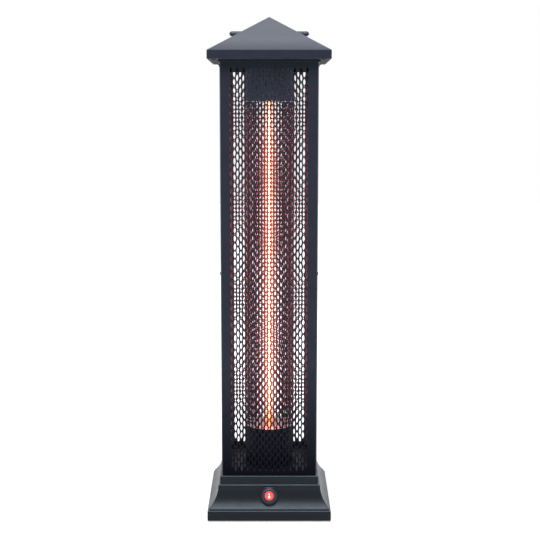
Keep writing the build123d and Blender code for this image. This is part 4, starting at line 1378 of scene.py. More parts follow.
@dataclass(frozen=True)
class CrossScrew:
    """Pan-head screw with a cross recess: underside of the head at z = 0, shank below.

    The shares are of the head's radius or height. The grid lines lie close together where the
    recess has its walls.
    """

    radius: float
    height: float
    shank: float
    grip: float
    lines: tuple[float, ...] = (0.0, 0.16, 0.21, 0.36, 0.60, 0.67, 0.84, 1.0)
    arm_half: float = 0.17
    arm_length: float = 0.61
    crown: float = 0.45
    recess: float = 0.55
    rim: float = 0.12
    underside: float = 0.96

    def shell(self) -> Shell:
        """The closed surface.

        The top is a square grid pressed into a disc: x = u sqrt(1 - v*v/2) and the same for y.
        It domes by the square of the distance from the axis, and sinks inside the cross.

        Returns:
            The screw on the Z axis.
        """
        half = np.array(self.lines)
        line = np.concatenate([-half[:0:-1], half])
        u, v = np.meshgrid(line, line)
        x, y = u * np.sqrt(1 - v**2 / 2), v * np.sqrt(1 - u**2 / 2)
        narrow, wide = np.minimum(abs(u), abs(v)), np.maximum(abs(u), abs(v))
        inside = (narrow < self.arm_half) & (wide < self.arm_length)
        dome = 1 - self.crown * (x**2 + y**2) - self.recess * inside
        top = np.stack([x * self.radius, y * self.radius, dome * self.height], -1).reshape(-1, 3)
        count = len(line)
        number = np.arange(count * count).reshape(count, count)
        sides = [number[0, :-1], number[:-1, -1], number[-1, :0:-1], number[:0:-1, 0]]
        ring = np.concatenate(sides)
        way = top[ring, :2] / np.linalg.norm(top[ring, :2], axis=1)[:, None]
        steps = [(self.radius, self.rim * self.height), (self.radius * self.underside, 0.0)]
        steps += [(self.shank, 0.0), (self.shank, -self.grip), (0.0, -self.grip)]
        below = [np.column_stack([way * r, np.full(len(way), z)]) for r, z in steps]
        rings = np.concatenate([top[ring], *below])
        walls = grid_quads(len(steps) + 1, len(ring), False, True)[:, ::-1]
        head = Shell(top, [grid_quads(count, count, False, False)])
        return head.joined(Shell(rings, [walls])).welded()


# Lamp


@dataclass
class Lamp:
    """Quartz lamp with its round mesh guard, drums and reflectors."""

    drum_paint: bpy.types.Material
    low_drum_paint: bpy.types.Material
    guard_paint: bpy.types.Material
    reflector_metal: bpy.types.Material
    quartz: bpy.types.Material
    filament: bpy.types.Material
    segments: int = 128
    wall: float = 0.001
    flange: float = 0.007
    flange_fillet: float = 0.0008
    drum_edge: float = 0.0003
    guard_columns: int = 50
    guard_rows: int = 39
    hole_width: float = 0.0054
    hole_height: float = 0.0154
    guard_sheet: float = 0.0005
    reflector_gap: float = 0.0015
    round_share: float = 0.4
    tube_wall: float = 0.001
    coil_radius: float = 0.0021
    wire_radius: float = 0.00040
    coil_pitch: float = 0.0012
    coil_steps: int = 16
    wire_sides: int = 6

    def drum(self, node: str, up: bool, paint: bpy.types.Material) -> None:
        """Rolled drum with a fillet into its flange.

        Args:
            node: Solid that it stands for.
            up: True where the drum rises from its flange, False where it hangs from it.
            paint: Its finish.
        """
        low, high = PLACES.span(node, 2)
        outer = PLACES.span(node, 0)[1] - self.flange
        height, wide = high - low, outer + self.flange
        inner = outer - self.wall
        corners = [(inner, 0), (wide, 0), (wide, self.wall), (outer, self.wall), (outer, height)]
        corners += [(inner, height)]
        edge, fillet = self.drum_edge, self.flange_fillet
        radii = [fillet, edge, edge, fillet, edge, edge]
        shell = round_rings(rounded(corners, radii, True), self.segments, True)
        if up:
            turn = Matrix.Translation((0, 0, low))
        else:
            turn = Matrix.Translation((0, 0, high)) @ Matrix.Rotation(math.pi, 4, "X")
        add_piece(node + "_rolled", shell.placed(turn), paint, [node])

    def reflector(self, node: str) -> None:
        """Spun disc with rounded edges and a hole for the lamp.

        Args:
            node: Solid that it stands for.
        """
        low, high = PLACES.span(node, 2)
        outer = PLACES.span(node, 0)[1]
        hole = PLACES.span("lamp_tube", 0)[1] + self.reflector_gap
        edge = (high - low) * self.round_share
        corners = [(hole, low), (outer, low), (outer, high), (hole, high)]
        shell = round_rings(rounded(corners, [edge] * 4, True), self.segments, True)
        add_piece(node + "_spun", shell, self.reflector_metal, [node])

    def guard(self) -> None:
        """Round guard of thinner sheet with wider holes, cut through its holes at both ends."""
        low, high = PLACES.span("inner_guard", 2)
        radius = PLACES.span("inner_guard", 0)[1]
        pitch_s = 2 * math.pi * radius / self.guard_columns
        pitch_z = (high - low) / (self.guard_rows + 0.5)
        field = HoleField(
            self.guard_columns, self.guard_rows, pitch_s, pitch_z, low, True,
            self.hole_width, self.hole_height,
        )

        def rolled(s: np.ndarray, z: np.ndarray, depth: float) -> np.ndarray:
            """Sheet rolled to a tube: the way across the sheet becomes a turn.

            Args:
                s: Way across the laid-out sheet.
                z: Height.
                depth: Distance behind the outer face.

            Returns:
                Points in the frame.
            """
            turn, reach = s / radius, radius - depth
            return np.stack([reach * np.sin(turn), -reach * np.cos(turn), z], -1)

        shell = perforated(field, low, high, [], rolled, self.guard_sheet)
        add_piece("round_guard_mesh", shell, self.guard_paint, ["inner_guard"])

    def tube(self) -> None:
        """Quartz tube with fire-polished ends."""
        low, high = PLACES.span("lamp_tube", 2)
        outer = PLACES.span("lamp_tube", 0)[1]
        inner = outer - self.tube_wall
        corners = [(inner, low), (outer, low), (outer, high), (inner, high)]
        radii = [self.tube_wall * self.round_share] * 4
        shell = round_rings(rounded(corners, radii, True), self.segments // 2, True)
        add_piece("quartz_tube", shell, self.quartz, ["lamp_tube"])

    def coil(self) -> None:
        """Wire wound round the lamp's axis.

        The wire's middle line is a helix. Each section is a small circle in the plane of the
        helix's outward direction and of the direction square to it and to the wire.
        """
        low, high = PLACES.span("lamp_filament", 2)
        low, high = low + 2 * self.wire_radius, high - 2 * self.wire_radius
        turns = (high - low) / self.coil_pitch
        angle = np.linspace(0, 2 * math.pi * turns, int(turns * self.coil_steps))[:, None]
        out = np.concatenate([np.cos(angle), np.sin(angle), np.zeros_like(angle)], 1)
        middle = out * self.coil_radius
        middle[:, 2] = low + angle[:, 0] / (2 * math.pi) * self.coil_pitch
        rise = self.coil_pitch / (2 * math.pi * self.coil_radius)
        along = np.concatenate([-np.sin(angle), np.cos(angle), np.full_like(angle, rise)], 1)
        along /= np.linalg.norm(along, axis=1)[:, None]
        square = np.cross(along, out)
        section = np.arange(self.wire_sides) * 2 * math.pi / self.wire_sides
        ring = np.cos(section)[:, None] * out[:, None] + np.sin(section)[:, None] * square[:, None]
        points = middle[:, None] + self.wire_radius * ring
        start, end = (np.repeat(middle[k][None, None], self.wire_sides, 1) for k in (0, -1))
        closed = np.concatenate([start, points, end])
        faces = grid_quads(len(closed), self.wire_sides, False, True)[:, ::-1]
        shell = Shell(closed.reshape(-1, 3), [faces]).welded()
        add_piece("glowing_coil", shell, self.filament, ["lamp_filament"])

    def build(self) -> None:
        """Makes every piece of the lamp that is finer than its solid."""
        # The lower drum takes the painted-shade copy of the drum coat, the upper drum the
        # painted-light coat.
        self.drum("lower_drum", True, self.low_drum_paint)
        self.drum("upper_drum", False, self.drum_paint)
        self.reflector("lower_reflector")
        self.reflector("upper_reflector")
        self.guard()
        self.tube()
        self.coil()


# Foot


class Ring(IntEnum):
    """What one row of the gland's outline is bounded by."""

    ROUND = 0
    HEXAGON = 1
    FLUTED = 2


@dataclass
class Foot:
    """Moulded foot: band, cove and plinth round a square, with pads for the button and gland."""

    plastic: bpy.types.Material
    rubber: bpy.types.Material
    nylon: bpy.types.Material
    wall: float = 0.003
    band_height: float = 0.0187
    band_ledge: float = 0.0027
    riser_height: float = 0.0033
    cove_height: float = 0.0405
    cove_ledge: float = 0.0034
    plinth_half: float = 0.092
    corner: float = 0.0014
    edge: float = 0.0015
    cove_steps: int = 20
    side_splits: int = 24
    pad_radius: float = 0.017
    pad_depth: float = 0.007
    bore: float = 0.01105
    gland_pad_radius: float = 0.0095
    gland_pad_depth: float = 0.010
    gland_bore: float = 0.00565
    gland_thread_length: float = 0.015
    gland_thread: float = 0.0055
    gland_flats: float = 0.015
    gland_flange: float = 0.003
    gland_dome: float = 0.009
    gland_dome_radius: float = 0.0066
    gland_core: float = 0.0036
    gland_chamfer: float = 0.0006
    gland_segments: int = 96
    flute_count: int = 12
    flute_depth: float = 0.035
    flute_level: float = 0.3
    foot_inset: float = 0.023
    foot_recess: float = 0.004
    foot_hole: float = 0.00215
    foot_segments: int = 48
    foot_edges: tuple[float, ...] = (0.0003, 0.001, 0.0004, 0.0, 0.0, 0.0)

    def __post_init__(self) -> None:
        """Reads the housing's faces from the frame and works out the cove's arc."""
        self.rim, self.deck = PLACES.span("base_housing", 2)
        self.half = PLACES.span("base_housing", 0)[1]
        self.band_top = self.rim + self.band_height
        self.cove_low = self.band_top + self.riser_height
        self.cove_high = self.cove_low + self.cove_height
        self.foot_half = self.half - self.band_ledge
        self.head_half = self.plinth_half + self.cove_ledge
        run = self.foot_half - self.head_half
        self.arc = (run**2 + self.cove_height**2) / (2 * run)
        self.centre = self.head_half + self.arc

    def cove(self, low: float, high: float, wall: float) -> list[tuple[float, float]]:
        """Points of the cove's arc, which stands upright at its head, or of its inner face.

        Args:
            low: Lowest height.
            high: Highest height.
            wall: Distance behind the outer face.

        Returns:
            Half widths and heights.
        """
        z = np.linspace(low, high, self.cove_steps + 1)
        half = self.centre - np.sqrt((self.arc + wall) ** 2 - (self.cove_high - z) ** 2)
        return list(zip(half.tolist(), z.tolist()))

    def profile(self) -> np.ndarray:
        """Closed outline of the wall: up the outside, over the deck and down the inside.

        Returns:
            Half widths and heights.
        """
        e, w = self.edge, self.wall
        riser = self.foot_half - w
        arc_low = self.cove_high - math.sqrt((self.arc + w) ** 2 - (self.centre - riser) ** 2)
        outer = [(self.half, self.rim, e), (self.half, self.band_top, e)]
        outer += [(self.foot_half, self.band_top, e / 2)]
        cove = self.cove(self.cove_low, self.cove_high, 0.0)
        outer += [(half, z, 0.0) for half, z in cove[:-1]]
        outer += [(*cove[-1], e), (self.plinth_half, self.cove_high, e / 2)]
        outer += [(self.plinth_half, self.deck, e), (0.0, self.deck, 0.0)]
        inner = [(0.0, self.deck - w, 0.0), (self.plinth_half - w, self.deck - w, 0.0)]
        inner += [(self.plinth_half - w, self.cove_high - w, 0.0)]
        inner += [(half, z, 0.0) for half, z in self.cove(arc_low, self.cove_high - w, w)[::-1]]
        inner += [(riser, self.band_top - w, 0.0), (self.half - w, self.band_top - w, 0.0)]
        inner += [(self.half - w, self.rim, 0.0)]
        corners = outer + inner
        return rounded([c[:2] for c in corners], [c[2] for c in corners], True)

    def gland_matrix(self) -> Matrix:
        """Place of the gland's seat on the back.

        Returns:
            Matrix whose Z axis points to +Y.
        """
        y_low = PLACES.span("cord_gland", 1)[0]
        z_low, z_high = PLACES.span("cord_gland", 2)
        seat = Matrix.Translation((0, y_low + self.gland_thread_length, (z_low + z_high) / 2))
        return seat @ Matrix.Rotation(-math.pi / 2, 4, "X")

    def housing(self) -> None:
        """Shell with both pads fused on and their holes cut through."""
        shell = square_rings(self.profile(), self.corner, True, self.side_splits)
        places = [PLACES.button_matrix(), self.gland_matrix()]
        seats = [(self.pad_radius, self.bore, self.pad_depth)]
        seats += [(self.gland_pad_radius, self.gland_bore, self.gland_pad_depth)]
        pads, bores = [], []
        for place, (radius, bore, depth) in zip(places, seats):
            pads.append(plug(radius, -depth, 0.0, self.edge / 2).placed(place))
            bores.append(plug(bore, -2 * depth, depth, 0.0).placed(place))
        mesh = cut_mesh(shell, pads, bores, "foot_housing")
        add_mesh(mesh, self.plastic, ["base_housing"], even_normals=True)

    def feet(self) -> None:
        """Four round rubber feet with a recess for the screw."""
        low, high = PLACES.span("rubber_feet", 2)
        place = self.half - self.foot_inset
        radius = PLACES.span("rubber_feet", 0)[1] - place
        recess, hole, half = self.foot_recess, self.foot_hole, (low + high) / 2
        corners = [(recess, low), (radius, low), (radius, high), (hole, high), (hole, half)]
        corners += [(recess, half)]
        foot = round_rings(rounded(corners, self.foot_edges, True), self.foot_segments, True)
        spots = [(x, y) for x in (-place, place) for y in (-place, place)]
        made = [foot.placed(Matrix.Translation((x, y, 0))) for x, y in spots]
        feet = made[0].joined(*made[1:])
        add_piece("floor_feet", feet, self.rubber, ["rubber_feet"])

    def gland(self) -> None:
        """Gland: chamfered hexagon, and a fluted dome nut with a bore.

        Round each height the radius is the least of the hexagon's and of the turned limit, and
        over the dome a wave of the turn angle cuts shallow flutes.
        """
        thread, flats, core = self.gland_thread, self.gland_flats / 2, self.gland_core
        length, flange, dome = self.gland_thread_length, self.gland_flange, self.gland_dome
        across = flats / math.cos(math.pi / 6)
        c, top = self.gland_chamfer, flange + dome
        rows = [(core, -length, Ring.ROUND), (thread, -length, Ring.ROUND)]
        rows += [(thread, 0.0, Ring.ROUND), (flats, 0.0, Ring.HEXAGON)]
        rows += [(across, c, Ring.HEXAGON), (across, flange - c, Ring.HEXAGON)]
        rows += [(flats, flange, Ring.HEXAGON), (self.gland_dome_radius, flange, Ring.FLUTED)]
        rows += [(self.gland_dome_radius, flange + dome / 2, Ring.FLUTED)]
        rows += [(thread + c, top - c, Ring.FLUTED), (thread, top, Ring.ROUND)]
        rows += [(core, top, Ring.ROUND)]
        limit, height, kind = np.array(rows).T[:, :, None]
        turn = np.arange(self.gland_segments) * 2 * math.pi / self.gland_segments
        sixth = math.pi / 3
        hexagon = flats / np.cos(np.mod(turn, sixth) - sixth / 2)
        flutes = 1 - self.flute_depth * (np.cos(turn * self.flute_count) > self.flute_level)
        inside = np.where(kind == Ring.HEXAGON, np.minimum(limit, hexagon), limit)
        radius = np.where(kind == Ring.FLUTED, limit * flutes, inside)
        points = np.broadcast_arrays(radius * np.cos(turn), radius * np.sin(turn), height)
        quads = grid_quads(len(rows), self.gland_segments, True, True)
        shell = Shell(np.stack(points, -1).reshape(-1, 3), [quads]).welded()
        placed = shell.placed(self.gland_matrix())
        add_piece("fluted_gland", placed, self.nylon, ["cord_gland"])

    def build(self) -> None:
        """Makes every piece of the foot that is finer than its solid."""
        self.housing()
        self.feet()
        self.gland()


def plug(radius: float, low: float, high: float, edge: float) -> Shell:
    """Closed round bar on the Z axis.

    Args:
        radius: Its radius.
        low: Height of its lower end.
        high: Height of its upper end.
        edge: Rounding of its upper edge.

    Returns:
        The closed surface.
    """
    corners = [(0.0, low), (radius, low), (radius, high), (0.0, high)]
    outline = rounded(corners, [0.0, 0.0, edge, 0.0], False)
    return round_rings(outline, PLUG_SEGMENTS, False)


@dataclass
class PowerButton:
    """Round push button: bezel, domed cap, lit lens and the marks on it."""

    bezel_plastic: bpy.types.Material
    cap_plastic: bpy.types.Material
    lens_plastic: bpy.types.Material
    mark_light: bpy.types.Material
    bezel_radius: float = 0.0162
    bezel_top: float = 0.005
    bezel_rim: float = 0.0013
    bezel_floor: float = 0.0012
    barrel_radius: float = 0.0109
    barrel_wall: float = 0.0019
    barrel_length: float = 0.022
    stem_radius: float = 0.0052
    stem_length: float = 0.011
    gap: float = 0.0004
    travel: float = 0.002
    cap_height: float = 0.0042
    lens_radius: float = 0.0082
    lens_depth: float = 0.0018
    lens_proud: float = 0.0008
    lens_crown: float = 0.0005
    lens_gap: float = 0.0001
    lens_edge: float = 0.0004
    crown_share: float = 0.93
    crown_steps: int = 12
    mark_height: float = 0.00008
    bar_half: float = 0.0005
    bar_low: float = 0.0008
    bar_high: float = 0.0042
    bar_steps: int = 9
    ring_outer: float = 0.0018
    ring_inner: float = 0.0011
    ring_drop: float = 0.0024
    ring_steps: int = 32
    rim_edge: float = 0.0010
    cap_edge: float = 0.0029
    small_edge: float = 0.0003
    fine_edge: float = 0.0002
    segments: int = 96

    def __post_init__(self) -> None:
        """Heights over the seat that the sizes lead to."""
        self.matrix = PLACES.button_matrix()
        self.cap_low = GASKET + self.bezel_floor + self.travel + self.gap
        self.cap_high = self.cap_low + self.cap_height
        self.lens_top = self.cap_high + self.lens_proud

    def turned(self, corners: Sequence[tuple], closed: bool) -> Shell:
        """Turned surface on the button's axis.

        Args:
            corners: Radius, height and rounding of each corner of its outline.
            closed: True where the last corner joins the first.

        Returns:
            The surface in its place.
        """
        outline = rounded([c[:2] for c in corners], [c[2] for c in corners], closed)
        return round_rings(outline, self.segments, closed).placed(self.matrix)

    def bezel(self) -> None:
        """Ring with a rounded rim, a floor and the barrel behind it."""
        floor, fine = GASKET + self.bezel_floor, self.fine_edge
        bore = self.barrel_radius - self.barrel_wall
        hole = self.stem_radius + self.gap
        rim, top = self.bezel_radius - self.bezel_rim, self.bezel_top
        corners = [(bore, -self.barrel_length, 0.0), (self.barrel_radius, -self.barrel_length, 0.0)]
        corners += [(self.barrel_radius, GASKET, 0.0), (self.bezel_radius, GASKET, fine)]
        corners += [(self.bezel_radius, top, self.rim_edge), (rim, top, fine)]
        corners += [(rim, floor, self.small_edge), (hole, floor, fine)]
        corners += [(hole, 0.0, 0.0), (bore, 0.0, 0.0)]
        add_piece(
            "button_ring", self.turned(corners, True), self.bezel_plastic,
            ["button_bezel"], even_normals=True,
        )

    def cap(self) -> None:
        """Domed cap with a recess for the lens, and its stem."""
        radius = self.bezel_radius - self.bezel_rim - self.gap
        floor, small = self.cap_high - self.lens_depth, self.small_edge
        corners = [(0.0, self.cap_low - self.stem_length, 0.0)]
        corners += [(self.stem_radius, self.cap_low - self.stem_length, 0.0)]
        corners += [(self.stem_radius, self.cap_low, 0.0), (radius, self.cap_low, small)]
        corners += [(radius, self.cap_high, self.cap_edge)]
        corners += [(self.lens_radius, self.cap_high, small)]
        corners += [(self.lens_radius, floor, 0.0), (0.0, floor, 0.0)]
        add_piece(
            "button_cap", self.turned(corners, False), self.cap_plastic,
            ["power_button"], Body.BUTTON, True,
        )

    def dome(self, x: np.ndarray, y: np.ndarray) -> np.ndarray:
        """Height of the lens over the seat: a crown that falls with the square of the radius.

        Args:
            x: Places across the lens.
            y: Places up the lens.

        Returns:
            Height at each place.
        """
        return self.lens_top - self.lens_crown * (x**2 + y**2) / self.lens_radius**2

    def lens(self) -> None:
        """Crowned lens, a hair smaller than its recess."""
        radius = self.lens_radius - self.lens_gap
        low = self.cap_high - self.lens_depth
        across = np.linspace(radius * self.crown_share, 0.0, self.crown_steps)
        crown = np.column_stack([across, self.dome(across, 0.0 * across)])
        corners = [(radius, low), (radius, crown[0, 1]), tuple(crown[0])]
        side = rounded(corners, [0.0, self.lens_edge, 0.0], False)
        outline = np.concatenate([[(0.0, low)], side[:-1], crown])
        shell = round_rings(outline, self.segments, False).placed(self.matrix)
        add_piece("lit_lens", shell, self.lens_plastic, ["button_lens"], Body.BUTTON)

    def marks(self) -> None:
        """A bar over a ring, the plain signs for on and off, lying on the crown."""
        across = np.linspace(-self.bar_half, self.bar_half, 3)
        bar = np.meshgrid(across, np.linspace(self.bar_low, self.bar_high, self.bar_steps))
        turn = np.arange(self.ring_steps) * 2 * math.pi / self.ring_steps
        radius = np.array([self.ring_outer, self.ring_inner])[:, None]
        ring = (radius * np.sin(turn), radius * np.cos(turn) - self.ring_drop)
        made = []
        for (x, y), loop in ((bar, False), (ring, True)):
            base = np.stack([x, y, self.dome(x, y)], -1).reshape(-1, 3)
            raised = base + (0, 0, self.mark_height)
            faces = grid_quads(x.shape[0], x.shape[1], False, loop)
            made.append(Shell(raised, [faces]).thickened(base))
        shell = made[0].joined(made[1]).placed(self.matrix)
        add_piece("lens_marks", shell, self.mark_light, (), Body.BUTTON)

    def build(self) -> None:
        """Makes every piece of the button that shows."""
        self.bezel()
        self.cap()
        self.lens()
        self.marks()


# Roof and handle


@dataclass
class Roof:
    """Folded pyramid roof on its fascia, the step below it and the carry handle behind it."""

    slope_paint: bpy.types.Material
    paint: bpy.types.Material
    grip_plastic: bpy.types.Material
    sheet: float = 0.0012
    fascia: float = 0.0153
    fold: float = 0.0009
    hip: float = 0.0012
    collar_wall: float = 0.005
    collar_edge: float = 0.0008
    collar_top_edge: float = 0.0002
    sheet_edge: float = 0.0003
    grip_length: float = 0.156
    grip_radius: float = 0.0052
    grip_end: float = 1.1
    grip_swell: float = 0.06
    grip_steps: int = 121
    end_steps: int = 9
    groove_depth: float = 0.00045
    groove_place: float = 0.066
    groove_width: float = 0.0006
    grip_segments: int = 48
    up_slope: float = 0.031
    reach: float = 0.032

    def __post_init__(self) -> None:
        """Reads the roof's faces from the frame."""
        self.low, self.apex = PLACES.span("roof_cap", 2)
        self.half = PLACES.span("roof_cap", 0)[1]
        self.eaves = self.low + self.fascia
        self.slope = math.atan2(self.apex - self.eaves, self.half)

    def cap(self) -> None:
        """Roof shell: fascia, fold and slopes outside, and the same one sheet further in."""
        s, edge = self.sheet, self.sheet_edge
        drop = s / math.cos(self.slope)
        inner_eaves = self.eaves - drop + s * math.tan(self.slope)
        corners = [(self.half, self.low, edge), (self.half, self.eaves, self.fold)]
        corners += [(0.0, self.apex, 0.0), (0.0, self.apex - drop, 0.0)]
        corners += [(self.half - s, inner_eaves, edge), (self.half - s, self.low, edge)]
        outline = rounded([c[:2] for c in corners], [c[2] for c in corners], True)
        shell = square_rings(outline, self.hip, True, 2)
        paint = self.slope_paint
        add_piece("pyramid_roof", shell, paint, ["roof_cap"], even_normals=True)

    def collar(self) -> None:
        """Square step between the column and the roof."""
        low, high = PLACES.span("top_collar", 2)
        outer = PLACES.span("top_collar", 0)[1]
        inner = outer - self.collar_wall
        corners = [(inner, low), (outer, low), (outer, high), (inner, high)]
        radii = [0.0, self.collar_edge, self.collar_top_edge, 0.0]
        shell = square_rings(rounded(corners, radii, True), self.collar_edge, True, 2)
        add_piece("collar_step", shell, self.paint, ["top_collar"], even_normals=True)

    def grip(self) -> None:
        """Moulded grip bar: a little fuller at its middle, with rounded ends and end grooves.

        The radius falls with the square of the way from the middle, and each end is a quarter
        ellipse. A narrow dip near each end marks the end cap.
        """
        up, out = self.up_slope, self.reach
        y = self.half - up * math.cos(self.slope) + out * math.sin(self.slope)
        z = self.eaves + up * math.sin(self.slope) + out * math.cos(self.slope)
        half = self.grip_length / 2
        cap = self.grip_radius * self.grip_end
        body = np.linspace(-(half - cap), half - cap, self.grip_steps)
        swell = self.grip_radius * (1 - self.grip_swell * (body / half) ** 2)
        beside = (np.abs(body) - self.groove_place) / self.groove_width
        groove = self.groove_depth * np.exp(-(beside**2))
        turn = np.arange(self.end_steps) * math.pi / 2 / self.end_steps
        low = np.column_stack([swell[0] * np.sin(turn), -(half - cap) - cap * np.cos(turn)])
        middle = np.column_stack([swell - groove, body])
        outline = np.concatenate([low, middle, low[::-1] * (1, -1)])
        turned = Matrix.Translation((0, y, z)) @ Matrix.Rotation(math.pi / 2, 4, "Y")
        shell = round_rings(outline, self.grip_segments, False).placed(turned)
        add_piece("grip_bar", shell, self.grip_plastic, ["handle_grip"])

    def build(self) -> None:
        """Makes every piece of the roof that is finer than its solid."""
        self.cap()
        self.collar()
        self.grip()


# Light, floor and camera


@dataclass(frozen=True)
class Softbox:
    """Flat area lamp aimed at a point of the heater, square unless it has a height."""

    name: str
    place: Point
    aim: Point
    size: float
    watts: float
    colour: Colour = NEUTRAL
    height: float = 0.0

    def add(self) -> None:
        """Puts the lamp in the scene, unseen by the camera."""
        lamp = bpy.data.lights.new(self.name, "AREA")
        lamp.shape = "RECTANGLE"
        lamp.size = self.size
        lamp.size_y = self.height or self.size
        lamp.energy = self.watts
        lamp.color = self.colour
        holder = bpy.data.objects.new(self.name, lamp)
        holder.location = self.place
        way = Vector(self.aim) - Vector(self.place)
        holder.rotation_euler = way.to_track_quat("-Z", "Y").to_euler()
        holder.visible_camera = False
        bpy.context.scene.collection.objects.link(holder)


@dataclass(frozen=True)
class Studio:
    """White room with a pale floor, soft lamps, and the camera of the photograph.

    The heater's own light comes from upright red strips close round the lamp's tube.
    """

    camera_place: Point = (0.0015, -1.9903, 0.7512)
    pitch: float = 7.496
    lens: float = 70.01
    sensor: float = 36.0
    shift: float = -0.03
    near_clip: float = 0.05
    floor_size: float = 14.0
    floor_tone: float = 0.80
    near_lift: float = 0.30
    far_lift: float = 1.0
    painted_shade_reach: float = 0.9
    room_light: float = 0.22
    soft_lamps: tuple[Softbox, ...] = (
        Softbox("high_front", (-0.1, -1.35, 2.65), (0, 0, 0.1), 1.8, 105.0, (0.88, 0.94, 1.0)),
        Softbox("high_rear", (0.1, 1.2, 2.7), (0, 0, 0.8), 2.0, 24.0, (0.80, 0.88, 1.0)),
        Softbox("left", (-2.6, -1.2, 1.3), (0, 0, 0.5), 1.6, 4.0),
        Softbox("right", (2.6, -1.2, 1.3), (0, 0, 0.5), 1.6, 4.0),
    )
    glow_colour: Colour = (1.0, 0.07, 0.10)
    glow_watts: tuple[float, float, float, float] = (0.36, 0.44, 0.36, 0.44)
    glow_radius: float = 0.010
    glow_width: float = 0.014
    glow_height: float = 0.58
    glow_middle: float = 0.466

    def camera(self) -> None:
        """Camera at the photograph's height, distance and tilt."""
        data = bpy.data.cameras.new("camera")
        data.lens = self.lens
        data.sensor_width = self.sensor
        data.shift_y = self.shift
        data.clip_start = self.near_clip
        holder = bpy.data.objects.new("camera", data)
        holder.location = self.camera_place
        holder.rotation_euler = (math.radians(90 - self.pitch), 0, 0)
        bpy.context.scene.collection.objects.link(holder)
        bpy.context.scene.camera = holder

    def world(self) -> None:
        """Room that is white to the camera, to gloss and to glass, and softer to the rest."""
        world = bpy.data.worlds.new("white_room")
        bpy.context.scene.world = world
        world.use_nodes = True
        tree = world.node_tree
        tree.nodes.clear()
        seen = self.seen(tree)
        strength = tree.nodes.new("ShaderNodeMapRange")
        strength.inputs["To Min"].default_value = self.room_light
        strength.inputs["To Max"].default_value = 1.0
        tree.links.new(seen, strength.inputs["Value"])
        room = tree.nodes.new("ShaderNodeBackground")
        room.inputs["Color"].default_value = (1, 1, 1, 1)
        tree.links.new(strength.outputs["Result"], room.inputs["Strength"])
        out = tree.nodes.new("ShaderNodeOutputWorld")
        tree.links.new(room.outputs["Background"], out.inputs["Surface"])

    def seen(self, tree: bpy.types.NodeTree) -> Socket:
        """Tells what the camera sees, straight, in gloss or through glass, from what only lights.

        Args:
            tree: Nodes that the answer is for.

        Returns:
            Number that is 1 for what is seen and 0 for the rest.
        """
        path = tree.nodes.new("ShaderNodeLightPath")
        total = path.outputs["Is Camera Ray"]
        for socket in (path.outputs["Is Glossy Ray"], path.outputs["Is Transmission Ray"]):
            node = tree.nodes.new("ShaderNodeMath")
            node.operation = "MAXIMUM"
            tree.links.new(total, node.inputs[0])
            tree.links.new(socket, node.inputs[1])
            total = node.outputs["Value"]
        return total

    def floor(self) -> None:
        """Pale floor that keeps the heater's shadow; its lift to white is less near the heater, a
        painted shade round it.
        """
        material = bpy.data.materials.new("pale_floor")
        material.use_nodes = True
        tree = material.node_tree
        tree.nodes.clear()
        matt = tree.nodes.new("ShaderNodeBsdfDiffuse")
        matt.inputs["Color"].default_value = (*[self.floor_tone] * 3, 1)
        lift = tree.nodes.new("ShaderNodeEmission")
        seen = self.seen(tree)
        place = tree.nodes.new("ShaderNodeTexCoord")
        centred = tree.nodes.new("ShaderNodeMapping")
        centred.inputs["Scale"].default_value = [1 / self.painted_shade_reach] * 3
        tree.links.new(place.outputs["Object"], centred.inputs["Vector"])
        # Painted shade: the lift falls from far_lift to near_lift towards the heater, so the floor
        # is darker round it beside its real shadow.
        shade_pool = tree.nodes.new("ShaderNodeTexGradient")
        shade_pool.gradient_type = "SPHERICAL"
        tree.links.new(centred.outputs["Vector"], shade_pool.inputs["Vector"])
        height = tree.nodes.new("ShaderNodeMapRange")
        height.interpolation_type = "SMOOTHSTEP"
        height.inputs["To Min"].default_value = self.far_lift
        height.inputs["To Max"].default_value = self.near_lift
        tree.links.new(shade_pool.outputs["Fac"], height.inputs["Value"])
        level = tree.nodes.new("ShaderNodeMath")
        level.operation = "MULTIPLY"
        tree.links.new(seen, level.inputs[0])
        tree.links.new(height.outputs["Result"], level.inputs[1])
        tree.links.new(level.outputs["Value"], lift.inputs["Strength"])
        both = tree.nodes.new("ShaderNodeAddShader")
        tree.links.new(matt.outputs["BSDF"], both.inputs[0])
        tree.links.new(lift.outputs["Emission"], both.inputs[1])
        out = tree.nodes.new("ShaderNodeOutputMaterial")
        tree.links.new(both.outputs["Shader"], out.inputs["Surface"])
        mesh = bpy.data.meshes.new("floor")
        half = self.floor_size / 2
        corners = [(-half, -half, 0), (half, -half, 0), (half, half, 0), (-half, half, 0)]
        mesh.from_pydata(corners, [], [(0, 1, 2, 3)])
        mesh.materials.append(material)
        floor = bpy.data.objects.new("floor", mesh)
        bpy.context.scene.collection.objects.link(floor)

    def lamp_light(self) -> None:
        """Red light of the heater's own lamp: an upright strip on each side of the tube."""
        middle = Vector((0, 0, self.glow_middle))
        for number, watts in enumerate(self.glow_watts):
            turn = number * 2 * math.pi / len(self.glow_watts)
            way = Vector((math.cos(turn), math.sin(turn), 0))
            place, aim = tuple(middle + way * self.glow_radius), tuple(middle + way)
            shape = self.glow_width, watts, self.glow_colour, self.glow_height
            Softbox(f"lamp_glow_{number}", place, aim, *shape).add()

    def build(self) -> None:
        """Makes the room, the lamps and the camera."""
        self.camera()
        self.world()
        self.floor()
        for lamp in self.soft_lamps:
            lamp.add()
        self.lamp_light()
        bpy.context.scene.view_settings.view_transform = "Standard"


